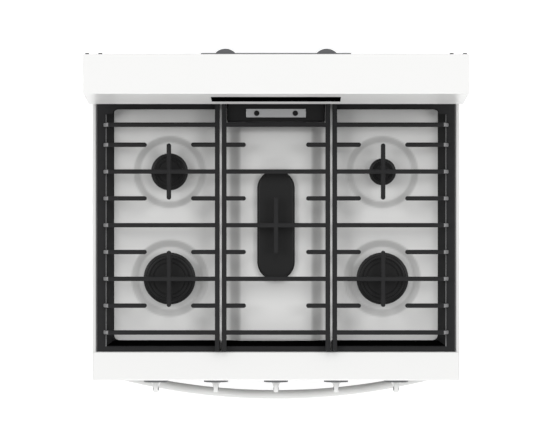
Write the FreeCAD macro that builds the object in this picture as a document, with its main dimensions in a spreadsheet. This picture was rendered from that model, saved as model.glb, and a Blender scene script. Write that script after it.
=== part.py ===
import FreeCAD, Part
import os
import re
import Sketcher

# A freestanding gas range: a sheet-steel cabinet on four levelling legs, with a storage drawer,
# an oven behind a drop-down door, a fascia with five push-and-turn knobs, a pressed cooktop with
# five burners under three cast grates, and a backguard with a touch display.
# Millimetres. +X is to the right for someone standing in front, +Y is to the back, +Z is up,
# and the origin is on the floor under the middle of the range.

os.makedirs("parts", exist_ok=True)
doc = FreeCAD.newDocument("GasRange")
sheet = doc.addObject("Spreadsheet::Sheet", "Sizes")

SIZES = [
    # The whole range. Reaches are measured forwards and backwards from the origin.
    ("width", 759), ("front_reach", 311), ("back_reach", 347), ("deck_height", 914), ("guard_rise", 277),
    ("steel", 1.5), ("gap", 0.3), ("running", 0.06),
    # Cabinet: side panels and back panel stand on the base frame.
    ("leg_lift", 38), ("frame_rise", 22), ("frame_rail", 60), ("cabinet_front", 262), ("cabinet_back", 345),
    ("flange", 15), ("leg_inset_x", 32), ("leg_inset_y", 32), ("leg_stem", 5), ("foot_radius", 18),
    ("foot_rise", 10), ("stem_over", 2), ("nut_radius", 10),
    # Cooktop: a pressed tray, whose well holds the grates and the burners.
    ("tray_front", 253), ("tray_back", 278), ("well_depth", 37), ("rim_width", 7.7),
    # Control panel, its knobs and the gas valves behind it.
    ("fascia_drop", 118), ("knob_drop", 59), ("knob_outer", 251), ("knob_inner", 125.6),
    ("bezel_radius", 25.5),
    ("bezel_play", 1.5), ("bezel_rise", 6), ("knob_base", 18), ("knob_base_depth", 1.8), ("knob_standoff", 4),
    ("knob_reach", 27), ("blade_width", 10.5), ("blade_length", 40), ("stem_radius", 4), ("stem_reach", 14),
    ("valve_size", 30), ("valve_depth", 22), ("valve_behind", 8), ("pipe_radius", 9), ("pipe_gap", 1.5),
    ("tube_radius", 3.5), ("tube_gap", 3),
    # Grates: cast rails round the outside with a sloping inner flank, and bars above them.
    ("grate_play", 0.8), ("grate_clear", 0.2), ("rail_flat", 19), ("rail_slope", 15),
    ("front_flat", 11), ("front_slope", 11.4), ("rail_drop", 1), ("cast_wall", 5), ("bar_width", 9),
    ("side_bar", 9.7), ("bar_height", 14), ("bar_rise", 22), ("bar_setback", 24.4), ("foot_setback", 13),
    ("corner_round", 11), ("rear_web", 26),
    ("grate_gap", 4.5), ("centre_bar_out", 107), ("front_row", 210.9), ("row_pitch", 55.36),
    ("rear_step", 41.3), ("finger_clear", 45.8), ("centre_finger", 62.2),
    ("cross_half", 58), ("bar_inset", 2.5),
    # Burners: an aluminium head stands through the tray and carries an enamelled cap.
    ("burner_x", 221.1), ("cap_large", 54), ("cap_medium", 38.5), ("cap_small", 28), ("cap_thick", 8),
    ("cap_oval_wide", 78), ("cap_oval_long", 230), ("head_rise", 15), ("head_inset", 5), ("neck_radius", 22),
    ("neck_drop", 12), ("spark_radius", 3), ("spark_gap", 4), ("spark_rise", 12),
    # Backguard: a folded steel housing with a leaning face, display and rear cover.
    ("guard_top_depth", 78), ("guard_lean", 13), ("guard_face", 160), ("guard_lip", 10), ("guard_wall", 1.5),
    ("glass_half", 129), ("glass_top", 49), ("glass_bottom", 115), ("glass_thick", 2.5), ("glass_proud", 0.8),
    ("board_half", 118), ("board_inset", 6), ("board_depth", 12), ("cover_half", 148), ("cover_thick", 3),
    ("cover_low", 20), ("cover_high", 262), ("hump_x", 100), ("hump_radius", 27), ("hump_reach", 12),
    ("screw_radius", 4), ("screw_head", 2.5), ("screw_out", 372), ("screw_in", 346), ("screw_drop", 12),
    # Oven vent at the back of the tray.
    ("vent_play", 0.65), ("vent_front", 224), ("vent_rise", 40), ("vent_slot", 14), ("plate_half", 61.8),
    ("plate_front", 233), ("plate_back", 251), ("plate_thick", 2), ("vent_screw_x", 39.9),
    ("vent_screw", 5.6),
    # Oven: enamelled liner, insulation, burners, racks and their guides.
    ("oven_half", 305), ("oven_floor", 290), ("oven_drop", 55), ("oven_back", 225), ("wrap_thick", 38),
    ("guide_inset", 9), ("post_inset", 4), ("guide_radius", 3), ("lower_rise", 110), ("upper_rise", 270),
    ("rack_play", 11.5), ("rack_front_in", 15), ("rack_back_in", 25), ("rack_rod", 3.5), ("rack_wire", 2),
    ("wire_pitch", 42), ("broil_half", 45), ("broil_front", 200), ("broil_back", 150), ("broil_gap", 13),
    ("broil_thick", 14), ("bake_half", 110), ("bake_radius", 10), ("bake_drop", 22), ("lamp_x", 230),
    ("lamp_drop", 75), ("lamp_radius", 24), ("lamp_reach", 22), ("probe_x", 200), ("probe_drop", 45),
    ("probe_radius", 3), ("probe_reach", 90), ("gasket_lap", 6), ("gasket_wide", 19),
    # Drop-down door on two hinge brackets.
    ("door_side", 3), ("door_low", 232), ("door_gap", 6), ("door_depth", 45), ("window_half", 235),
    ("window_low", 395), ("window_drop", 150), ("pane", 4), ("window_lap", 12), ("plug_clear", 10),
    ("plug_depth", 8), ("hinge_back", 11), ("hinge_up", 8),
    ("hinge_inset", 44.5), ("bracket_wide", 8), ("bracket_high", 12), ("pin_radius", 4), ("arm_thick", 4),
    ("arm_rise", 66), ("slot_half", 13), ("slot_rise", 30),
    ("handle_reach", 48), ("handle_bow", 1370), ("handle_deep", 18.5), ("handle_high", 22),
    ("handle_drop", 26),
    # Storage drawer on two glides.
    ("drawer_low", 52), ("drawer_gap", 8), ("drawer_thick", 21), ("tub_side", 39.5), ("tub_over", 6),
    ("tub_high", 176), ("tub_back", 200), ("glide_low", 120), ("glide_high", 145), ("glide_wall", 7),
    ("glide_deep", 10), ("runner_out", 6.5), ("slide_play", 0.5),
    # Gas inlet and pressure regulator behind the cabinet's lower right corner.
    ("inlet_x", 250), ("inlet_z", 120), ("inlet_radius", 10.5), ("inlet_reach", 22), ("inlet_access", 42),
    ("regulator_half", 32), ("regulator_depth", 60),
]

sizes = dict(SIZES)
for row, (alias, value) in enumerate(SIZES, start=1):
    sheet.set("A%d" % row, alias)
    sheet.set("B%d" % row, str(value))
    sheet.setAlias("B%d" % row, alias)
doc.recompute()

KEPT = []
TURNS = {
    "x": FreeCAD.Rotation(FreeCAD.Vector(0, 1, 0), 90),
    "y": FreeCAD.Rotation(FreeCAD.Vector(1, 0, 0), -90),
    "z": FreeCAD.Rotation(),
}

# Sizes that follow from others. A formula may use these words just as it uses the sheet's own.
TIED = {
    "stem_rise": "leg_lift + frame_rise + stem_over",
    "tray_floor": "deck_height - well_depth",
    "grate_seat": "tray_floor + gap",
    "grate_half": "width / 2 - rim_width - grate_play",
    "grate_front": "tray_front - steel - grate_clear",
    "grate_back": "tray_back - steel - grate_clear",
    "rail_top": "deck_height - rail_drop",
    "bar_top": "deck_height + bar_rise",
    "bar_low": "bar_top - bar_height",
    "bar_end": "grate_half - bar_setback",
    "bar_foot": "grate_half - foot_setback",
    "side_bar_in": "centre_bar_out + side_bar + grate_gap",
    "outer_finger": "burner_x + finger_clear",
    "inner_finger": "burner_x - finger_clear",
    "cap_seat": "tray_floor + head_rise + gap",
    "vent_half": "centre_bar_out - side_bar / 2 - vent_play",
    "vent_top": "tray_floor + vent_rise",
    "guard_top": "deck_height + guard_rise",
    "fascia_low": "deck_height - fascia_drop",
    "knob_z": "deck_height - knob_drop",
    "bezel_bore": "knob_base + bezel_play",
    "tube_z": "tray_floor - steel - tube_radius - tube_gap",
    "pipe_z": "tube_z - tube_radius - pipe_radius - pipe_gap",
    "door_inner": "door_depth - front_reach",
    "door_half": "width / 2 - door_side",
    "door_high": "fascia_low - door_gap",
    "window_high": "door_high - window_drop",
    "hinge_x": "width / 2 - hinge_inset",
    "hinge_y": "hinge_back - front_reach",
    "hinge_z": "door_low + hinge_up",
    "oven_top": "door_high - oven_drop",
    "lower_level": "oven_floor + lower_rise",
    "upper_level": "oven_floor + upper_rise",
    "guide_x": "oven_half - guide_inset",
    "guide_post_x": "oven_half - post_inset",
    "rack_half": "oven_half - rack_play",
    "rack_front": "cabinet_front - rack_front_in",
    "rack_back": "oven_back - rack_back_in",
    "lamp_z": "oven_top - lamp_drop",
    "probe_z": "oven_top - probe_drop",
    "gasket_in": "oven_half + gasket_lap",
    "gasket_out": "gasket_in + gasket_wide",
    "plug_half": "oven_half - plug_clear",
    "plug_low": "oven_floor + plug_clear",
    "plug_high": "oven_top - plug_clear",
    "drawer_high": "door_low - drawer_gap",
    "tub_half": "width / 2 - tub_side",
    "tub_low": "leg_lift + frame_rise + tub_over",
}


def bound(formula):
    """Point every word of a formula that names a size at the sheet."""
    def point(found):
        word = found.group()
        if word in TIED:
            return "(" + bound(TIED[word]) + ")"
        return "Sizes." + word if word in sizes else word
    return re.sub(r"[a-z_]+", point, formula)


def keep(shape, label):
    """Mark an object as a finished piece under its own name."""
    shape.Label = label
    KEPT.append(shape)
    return shape


def block(x, y, z):
    """A box between two formulas along each axis."""
    solid = doc.addObject("Part::Box", "Block")
    for axis, side, (low, high) in zip("xyz", ("Length", "Width", "Height"), (x, y, z)):
        solid.setExpression("Placement.Base." + axis, bound(low))
        solid.setExpression(side, bound("(%s) - (%s)" % (high, low)))
    return solid


def rod(along, ends, across, radius):
    """A round bar along one axis; across gives its centre on the other two axes in turn."""
    solid = doc.addObject("Part::Cylinder", "Rod")
    solid.Placement = FreeCAD.Placement(FreeCAD.Vector(), TURNS[along])
    centre = dict(zip([axis for axis in "xyz" if axis != along], across))
    centre[along] = ends[0]
    for axis, formula in centre.items():
        solid.setExpression("Placement.Base." + axis, bound(formula))
    solid.setExpression("Radius", bound(radius))
    solid.setExpression("Height", bound("(%s) - (%s)" % (ends[1], ends[0])))
    return solid


def join(*pieces):
    """Weld pieces into one solid."""
    solid = doc.addObject("Part::MultiFuse", "Weld")
    solid.Shapes = list(pieces)
    return solid


def group(*pieces):
    """Separate like solids that share one name."""
    solids = doc.addObject("Part::Compound", "Group")
    solids.Links = list(pieces)
    return solids


def cut(base, *tools):
    """Take tools away from a solid."""
    solid = doc.addObject("Part::Cut", "Cut")
    solid.Base = base
    solid.Tool = tools[0] if len(tools) == 1 else group(*tools)
    return solid


def overlap(first, second):
    """What two solids share."""
    solid = doc.addObject("Part::Common", "Common")
    solid.Base = first
    solid.Tool = second
    return solid


def mirrored(source):
    """The same piece on the other side of the range."""
    solid = doc.addObject("Part::Mirroring", "Mirrored")
    solid.Source = source
    solid.Normal = FreeCAD.Vector(1, 0, 0)
    return solid


def outline(body, role, points):
    """A closed sketch of straight edges on one of a body's own planes."""
    sketch = body.newObject("Sketcher::SketchObject", "Outline")
    plane = [feature for feature in body.Origin.OriginFeatures if feature.Role == role][0]
    sketch.AttachmentSupport = [(plane, "")]
    sketch.MapMode = "FlatFace"
    count = len(points)
    corners = []
    for index in range(count):
        turn = FreeCAD.Rotation(FreeCAD.Vector(0, 0, 1), 360.0 * index / count)
        corners.append(turn.multVec(FreeCAD.Vector(100, 0, 0)))
    edges = [Part.LineSegment(corners[index], corners[(index + 1) % count]) for index in range(count)]
    sketch.addGeometry(edges, False)
    rules = []
    for index in range(count):
        rules.append(Sketcher.Constraint("Coincident", index, 2, (index + 1) % count, 1))
    for index in range(count):
        rules.append(Sketcher.Constraint("DistanceX", -1, 1, index, 1, 1.0))
        rules.append(Sketcher.Constraint("DistanceY", -1, 1, index, 1, 1.0))
    sketch.addConstraint(rules)
    for index, (across, up) in enumerate(points):
        sketch.setExpression("Constraints[%d]" % (count + 2 * index), bound(across))
        sketch.setExpression("Constraints[%d]" % (count + 2 * index + 1), bound(up))
    return sketch


def profile(plane, points, low, high):
    """A straight-edged section in the XY, XZ or YZ plane, carried from low to high across it."""
    body = doc.addObject("PartDesign::Body", "Profile")
    pad = body.newObject("PartDesign::Pad", "Pad")
    pad.Profile = outline(body, plane + "_Plane", points)
    pad.setExpression("Length", bound("(%s) - (%s)" % (high, low)))
    axis = {"XY": "z", "XZ": "y", "YZ": "x"}[plane]
    body.setExpression("Placement.Base." + axis, bound(high if plane == "XZ" else low))
    return body


def turned(points, x, y, z):
    """A section of radii and heights, spun round a vertical axis at x, y, z."""
    body = doc.addObject("PartDesign::Body", "Turned")
    sketch = outline(body, "XZ_Plane", points)
    spin = body.newObject("PartDesign::Revolution", "Spin")
    spin.Profile = sketch
    spin.ReferenceAxis = (sketch, ["V_Axis"])
    spin.Angle = 360
    for axis, formula in zip("xyz", (x, y, z)):
        body.setExpression("Placement.Base." + axis, bound(formula))
    return body


def stadium(wide, long, y, low, high):
    """An upright solid with two straight sides and round ends, lengthwise along Y at x = 0."""
    half = "((%s) - (%s)) / 2" % (long, wide)
    middle = block(("-(%s) / 2" % wide, "(%s) / 2" % wide), ("%s - %s" % (y, half), "%s + %s" % (y, half)),
                   (low, high))
    front = rod("z", (low, high), ("0", "%s - %s" % (y, half)), "(%s) / 2" % wide)
    back = rod("z", (low, high), ("0", "%s + %s" % (y, half)), "(%s) / 2" % wide)
    return join(middle, front, back)


def row_y(number):
    """The place of a grate row, counted from the back."""
    if number == 1:
        return "(7 * row_pitch + rear_step - front_row)"
    return "(%d * row_pitch - front_row)" % (9 - number)


# --- Cabinet ---------------------------------------------------------------------------------

def cabinet():
    """Two flanged side panels and a back panel on a channel frame with four weld nuts."""
    inner = "(width / 2 - steel)"
    section = [("-width / 2", "-cabinet_front"), ("flange - width / 2", "-cabinet_front"),
               ("flange - width / 2", "steel - cabinet_front"), ("-" + inner, "steel - cabinet_front"),
               ("-" + inner, "cabinet_back - 2 * steel"), ("flange - width / 2", "cabinet_back - 2 * steel"),
               ("flange - width / 2", "cabinet_back - steel"), ("-width / 2", "cabinet_back - steel")]
    left = profile("XY", section, "leg_lift", "tray_floor - steel")
    keep(group(left, mirrored(left)), "side_panels")

    back = block(("-width / 2", "width / 2"), ("cabinet_back - steel", "cabinet_back"),
                 ("leg_lift", "tray_floor - steel"))
    access = rod("y", ("cabinet_back - 2 * steel", "cabinet_back + steel"), ("inlet_x", "inlet_z"),
                 "inlet_access")
    keep(cut(back, access), "back_panel")

    front = "(cabinet_front - flange)"
    rear = "(cabinet_back - 2 * steel)"
    top = "leg_lift + frame_rise"
    ring = block(("-" + inner, inner), ("-" + front, rear), ("leg_lift", top))
    hole = block(("frame_rail - " + inner, inner + " - frame_rail"),
                 ("frame_rail - " + front, rear + " - frame_rail"), ("leg_lift - 1", top + " + 1"))
    trough = cut(block(("steel - " + inner, inner + " - steel"), ("steel - " + front, rear + " - steel"),
                       ("leg_lift + steel", top + " + 1")),
                 block(("frame_rail - steel - " + inner, inner + " - frame_rail + steel"),
                       ("frame_rail - steel - " + front, rear + " - frame_rail + steel"),
                       ("leg_lift", top + " + 2")))
    nuts = []
    bores = []
    legs = []
    for x in (inner + " - leg_inset_x", "leg_inset_x - " + inner):
        for y in ("leg_inset_y - " + front, rear + " - leg_inset_y"):
            nuts.append(rod("z", ("leg_lift", top), (x, y), "nut_radius"))
            bores.append(rod("z", ("leg_lift - 1", top + " + 1"), (x, y), "leg_stem + running"))
            legs.append((x, y))
    keep(cut(join(cut(ring, hole, trough), *nuts), *bores), "base_frame")

    section = [("0", "0"), ("foot_radius", "0"), ("foot_radius", "foot_rise / 2"),
               ("foot_radius * 0.6", "foot_rise"), ("leg_stem", "foot_rise"), ("leg_stem", "stem_rise"),
               ("0", "stem_rise")]
    places = ("right_front", "right_rear", "left_front", "left_rear")
    for place, (x, y) in zip(places, legs):
        keep(turned(section, x, y, "0"), "levelling_leg_" + place)


# --- Cooktop, vent and backguard ---------------------------------------------------------------

BURNERS = [
    ("left_front", "-burner_x", row_y(7), "cap_large"),
    ("left_rear", "-burner_x", row_y(3), "cap_medium"),
    ("right_rear", "burner_x", row_y(3), "cap_small"),
    ("right_front", "burner_x", row_y(7), "cap_large"),
]
OVAL_Y = row_y(5)


def cooktop():
    """A pressed tray: hollow rims at the sides, a flat well floor with a hole under each burner."""
    half = "width / 2"
    tray = block(("-" + half, half), ("-tray_front", "tray_back"), ("tray_floor - steel", "deck_height"))
    well = block(("rim_width - " + half, half + " - rim_width"),
                 ("steel - tray_front", "tray_back - steel"), ("tray_floor", "deck_height + 1"))
    hollow = block(("steel - " + half, "rim_width - steel - " + half),
                   ("steel - tray_front", "tray_back - steel"),
                   ("tray_floor - 2 * steel", "deck_height - steel"))
    holes = [rod("z", ("tray_floor - 5", "tray_floor + 5"), (x, y), "neck_radius")
             for _, x, y, _ in BURNERS]
    holes.append(rod("z", ("tray_floor - 5", "tray_floor + 5"), ("0", OVAL_Y), "neck_radius"))
    keep(cut(tray, well, hollow, mirrored(hollow), *holes), "cooktop")

    outer = block(("-vent_half", "vent_half"), ("vent_front", "tray_back - steel - gap"),
                  ("grate_seat - gap", "tray_floor + vent_rise"))
    room = block(("steel * 2 - vent_half", "vent_half - steel * 2"),
                 ("vent_front + steel * 2", "tray_back - steel * 3"),
                 ("tray_floor + steel", "tray_floor + vent_rise - steel * 2"))
    slot = block(("-plate_half", "plate_half"), ("vent_front - 1", "vent_front + steel * 3"),
                 ("tray_floor + vent_rise - steel * 2 - vent_slot", "tray_floor + vent_rise - steel * 2"))
    keep(cut(outer, room, slot), "vent_trim")
    keep(block(("-plate_half", "plate_half"), ("plate_front", "plate_back"),
               ("tray_floor + vent_rise", "tray_floor + vent_rise + plate_thick")), "vent_deflector")


def face_y(drop):
    """Depth of the backguard's leaning face at a drop below its top edge."""
    return "(back_reach - guard_top_depth - guard_lean * (%s) / guard_face)" % drop


def backguard():
    """A folded housing across the full width, with a window for the display."""
    top = "guard_top"
    low = "tray_floor - steel"
    outer = [("back_reach", low), ("back_reach", top), ("back_reach - guard_top_depth", top),
             (face_y("guard_face"), top + " - guard_face"), ("tray_back", top + " - guard_face - guard_lip"),
             ("tray_back", low)]
    inner = [("back_reach - guard_wall", low + " + guard_wall"),
             ("back_reach - guard_wall", top + " - guard_wall"),
             ("back_reach - guard_top_depth + guard_wall", top + " - guard_wall"),
             (face_y("guard_face") + " + guard_wall", top + " - guard_face"),
             ("tray_back + guard_wall", top + " - guard_face - guard_lip - guard_wall"),
             ("tray_back + guard_wall", low + " + guard_wall")]
    shell = profile("YZ", outer, "-width / 2", "width / 2")
    room = profile("YZ", inner, "guard_wall - width / 2", "width / 2 - guard_wall")
    window = profile("YZ", glass_section("-5", "5", "0"), "-glass_half", "glass_half")
    keep(cut(shell, room, window), "backguard")
    pane = profile("YZ", glass_section("-glass_proud", "glass_thick - glass_proud", "0"),
                   "-glass_half", "glass_half")
    keep(pane, "display_glass")
    board = profile("YZ", glass_section("glass_thick - glass_proud", "board_depth", "board_inset"),
                    "-board_half", "board_half")
    keep(board, "display_board")

    cover = block(("-cover_half", "cover_half"), ("back_reach", "back_reach + cover_thick"),
                  ("deck_height + cover_low", "deck_height + cover_high"))
    humps = []
    for x in ("-hump_x", "hump_x"):
        post = rod("z", ("deck_height + cover_low + 25", "deck_height + cover_high - 8"),
                   (x, "back_reach + hump_reach - hump_radius"), "hump_radius")
        outside = block((x + " - hump_radius", x + " + hump_radius"),
                        ("back_reach", "back_reach + hump_reach + 1"), ("deck_height", top))
        humps.append(overlap(post, outside))
    keep(join(cover, *humps), "rear_cover")

    heads = []
    for x in ("-screw_out", "-screw_in", "screw_in", "screw_out"):
        heads.append(rod("y", ("back_reach", "back_reach + screw_head"), (x, top + " - screw_drop"),
                         "screw_radius"))
    for x in ("-vent_screw_x", "vent_screw_x"):
        plate_top = "tray_floor + vent_rise + plate_thick"
        heads.append(rod("z", (plate_top, plate_top + " + screw_head"),
                         (x, "(plate_front + plate_back) / 2"), "vent_screw"))
    keep(group(*heads), "screws")


def glass_section(front, back, inset):
    """A slab that lies along the leaning face, between two depths from it."""
    top = "guard_top"
    high = "glass_top + " + inset
    low = "glass_bottom - " + inset
    return [(face_y(high) + " + " + front, top + " - (" + high + ")"),
            (face_y(high) + " + " + back, top + " - (" + high + ")"),
            (face_y(low) + " + " + back, top + " - (" + low + ")"),
            (face_y(low) + " + " + front, top + " - (" + low + ")")]


# --- Burners -----------------------------------------------------------------------------------

def burners():
    """Five heads through the tray, a spark electrode beside each, and a loose cap on each."""
    heads = []
    sparks = []
    for place, x, y, radius in BURNERS:
        crown = rod("z", ("tray_floor", "tray_floor + head_rise"), (x, y), radius + " - head_inset")
        neck = rod("z", ("tray_floor - neck_drop", "tray_floor"), (x, y), "neck_radius")
        heads.append(join(crown, neck))
        sparks.append(rod("z", ("tray_floor", "tray_floor + spark_rise"),
                          (x + " * (1 - (%s + spark_gap + spark_radius) / burner_x)" % radius, y),
                          "spark_radius"))
        section = [("0", "0"), (radius, "0"), (radius, "cap_thick * 0.6"), (radius + " - 4", "cap_thick"),
                   ("0", "cap_thick")]
        keep(turned(section, x, y, "cap_seat"), "burner_cap_" + place)
    crown = stadium("cap_oval_wide - 2 * head_inset", "cap_oval_long - 2 * head_inset", OVAL_Y,
                    "tray_floor", "tray_floor + head_rise")
    neck = rod("z", ("tray_floor - neck_drop", "tray_floor"), ("0", OVAL_Y), "neck_radius")
    heads.append(join(crown, neck))
    sparks.append(rod("z", ("tray_floor", "tray_floor + spark_rise"),
                      ("cap_oval_wide / 2 + spark_gap + spark_radius", OVAL_Y), "spark_radius"))
    keep(group(*heads), "burner_heads")
    keep(group(*sparks), "spark_electrodes")
    keep(stadium("cap_oval_wide", "cap_oval_long", OVAL_Y, "cap_seat", "cap_seat + cap_thick"),
         "burner_cap_centre")


# --- Grates ------------------------------------------------------------------------------------

def channel(outer, flat, slope):
    """A hollow rail section: flat on top, sloping inwards to the tray, open underneath.

    outer is the outer edge; inwards is towards larger values.
    """
    inset = "cast_wall"
    return [(outer, "grate_seat"), (outer, "rail_top"), ("%s + %s" % (outer, flat), "rail_top"),
            ("%s + %s + %s" % (outer, flat, slope), "grate_seat"),
            ("%s + %s + %s - %s" % (outer, flat, slope, inset), "grate_seat"),
            ("%s + %s - %s / 2" % (outer, flat, inset), "rail_top - " + inset),
            ("%s + %s" % (outer, inset), "rail_top - " + inset),
            ("%s + %s" % (outer, inset), "grate_seat")]


def long_bar(x):
    """A bar that runs from front to back, with a foot down to the rail or tray at each end."""
    half = "side_bar / 2"
    span = block((x + " - " + half, x + " + " + half), ("bar_inset - grate_front", "grate_back - bar_inset"),
                 ("bar_low", "bar_top"))
    feet = [block((x + " - " + half, x + " + " + half), ("bar_inset - grate_front", "12 - grate_front"),
                  ("grate_seat", "bar_top")),
            block((x + " - " + half, x + " + " + half), ("grate_back - 12", "grate_back - bar_inset"),
                  ("grate_seat", "bar_top"))]
    return [span] + feet


def cross_row(number, low, high):
    """A straight bar or finger across the grate."""
    y = row_y(number)
    return block((low, high), (y + " - bar_width / 2", y + " + bar_width / 2"), ("bar_low", "bar_top"))


def round_tip(x, y):
    """The round end of a finger, centred half a bar's width inside its tip."""
    return rod("z", ("bar_low", "bar_top"), (x, y), "bar_width / 2")


def burner_cross(x, y):
    """The short bar along Y that crosses a full bar over the middle of a burner."""
    reach = "cross_half - bar_width / 2"
    middle = block((x + " - bar_width / 2", x + " + bar_width / 2"),
                   (y + " - (%s)" % reach, y + " + " + reach), ("bar_low", "bar_top"))
    return [middle, round_tip(x, y + " - (%s)" % reach), round_tip(x, y + " + " + reach)]


def corner_web(edge_y, inwards, z):
    """Metal that rounds one inner corner of a side grate's frame; inwards is +1 or -1 along Y."""
    edge_x = "rail_flat + rail_slope - grate_half"
    centre_x = edge_x + " + corner_round"
    centre_y = "%s + %d * corner_round" % (edge_y, inwards)
    side_y = (edge_y, centre_y) if inwards > 0 else (centre_y, edge_y)
    return cut(block((edge_x + " - rail_slope", centre_x), side_y, z),
               rod("z", ("(%s) - 1" % z[0], "(%s) + 1" % z[1]), (centre_x, centre_y), "corner_round"))


def grates():
    """Left and right grates over two burners each, and a centre grate over the oval burner."""
    pieces = [profile("XZ", channel("-grate_half", "rail_flat", "rail_slope"), "-grate_front", "grate_back")]
    pieces.append(profile("YZ", channel("-grate_front", "front_flat", "front_slope"),
                          "-grate_half", "side_bar / 2 - side_bar_in"))
    plate = ("rail_top - cast_wall", "rail_top")
    pieces.append(block(("-grate_half", "side_bar / 2 - side_bar_in"),
                        ("grate_back - rear_web", "grate_back"), plate))
    pieces.append(corner_web("grate_back - rear_web", -1, plate))
    pieces.append(corner_web("front_flat + front_slope - grate_front", 1,
                             ("grate_seat", "grate_seat + cast_wall")))
    pieces += long_bar("-side_bar_in")
    for number in range(1, 10):
        whole = number % 2 == 1
        tip = "-side_bar_in" if whole else "-outer_finger - bar_width / 2"
        section = [("-bar_foot", "rail_top - 2"), ("-bar_end", "bar_top"), (tip, "bar_top"), (tip, "bar_low"),
                   ("4 - bar_end", "bar_low"), ("-bar_end", "rail_top - 14")]
        y = row_y(number)
        pieces.append(profile("XZ", section, y + " - bar_width / 2", y + " + bar_width / 2"))
        if not whole:
            pieces.append(round_tip(tip, y))
            pieces.append(round_tip("bar_width / 2 - inner_finger", y))
            pieces.append(cross_row(number, "bar_width / 2 - inner_finger", "-side_bar_in"))
    for number in (3, 7):
        pieces += burner_cross("-burner_x", row_y(number))
    left = keep(join(*pieces), "grate_left")
    keep(mirrored(left), "grate_right")

    pieces = [profile("YZ", channel("-grate_front", "front_flat", "front_slope"),
                      "-centre_bar_out - side_bar / 2", "centre_bar_out + side_bar / 2")]
    pieces += long_bar("-centre_bar_out") + long_bar("centre_bar_out")
    for number in range(1, 10):
        if number % 2 == 1:
            pieces.append(cross_row(number, "-centre_bar_out", "centre_bar_out"))
        else:
            pieces.append(cross_row(number, "-centre_bar_out", "-centre_finger - bar_width / 2"))
            pieces.append(cross_row(number, "centre_finger + bar_width / 2", "centre_bar_out"))
            pieces.append(round_tip("-centre_finger - bar_width / 2", row_y(number)))
            pieces.append(round_tip("centre_finger + bar_width / 2", row_y(number)))
    pieces += burner_cross("0", OVAL_Y)
    keep(join(*pieces), "grate_centre")


# --- Control panel, valves and knobs -----------------------------------------------------------

KNOBS = [("1", "-knob_outer", "left_front"), ("2", "-knob_inner", "left_rear"), ("3", "0", "centre"),
         ("4", "knob_inner", "right_rear"), ("5", "knob_outer", "right_front")]


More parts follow.
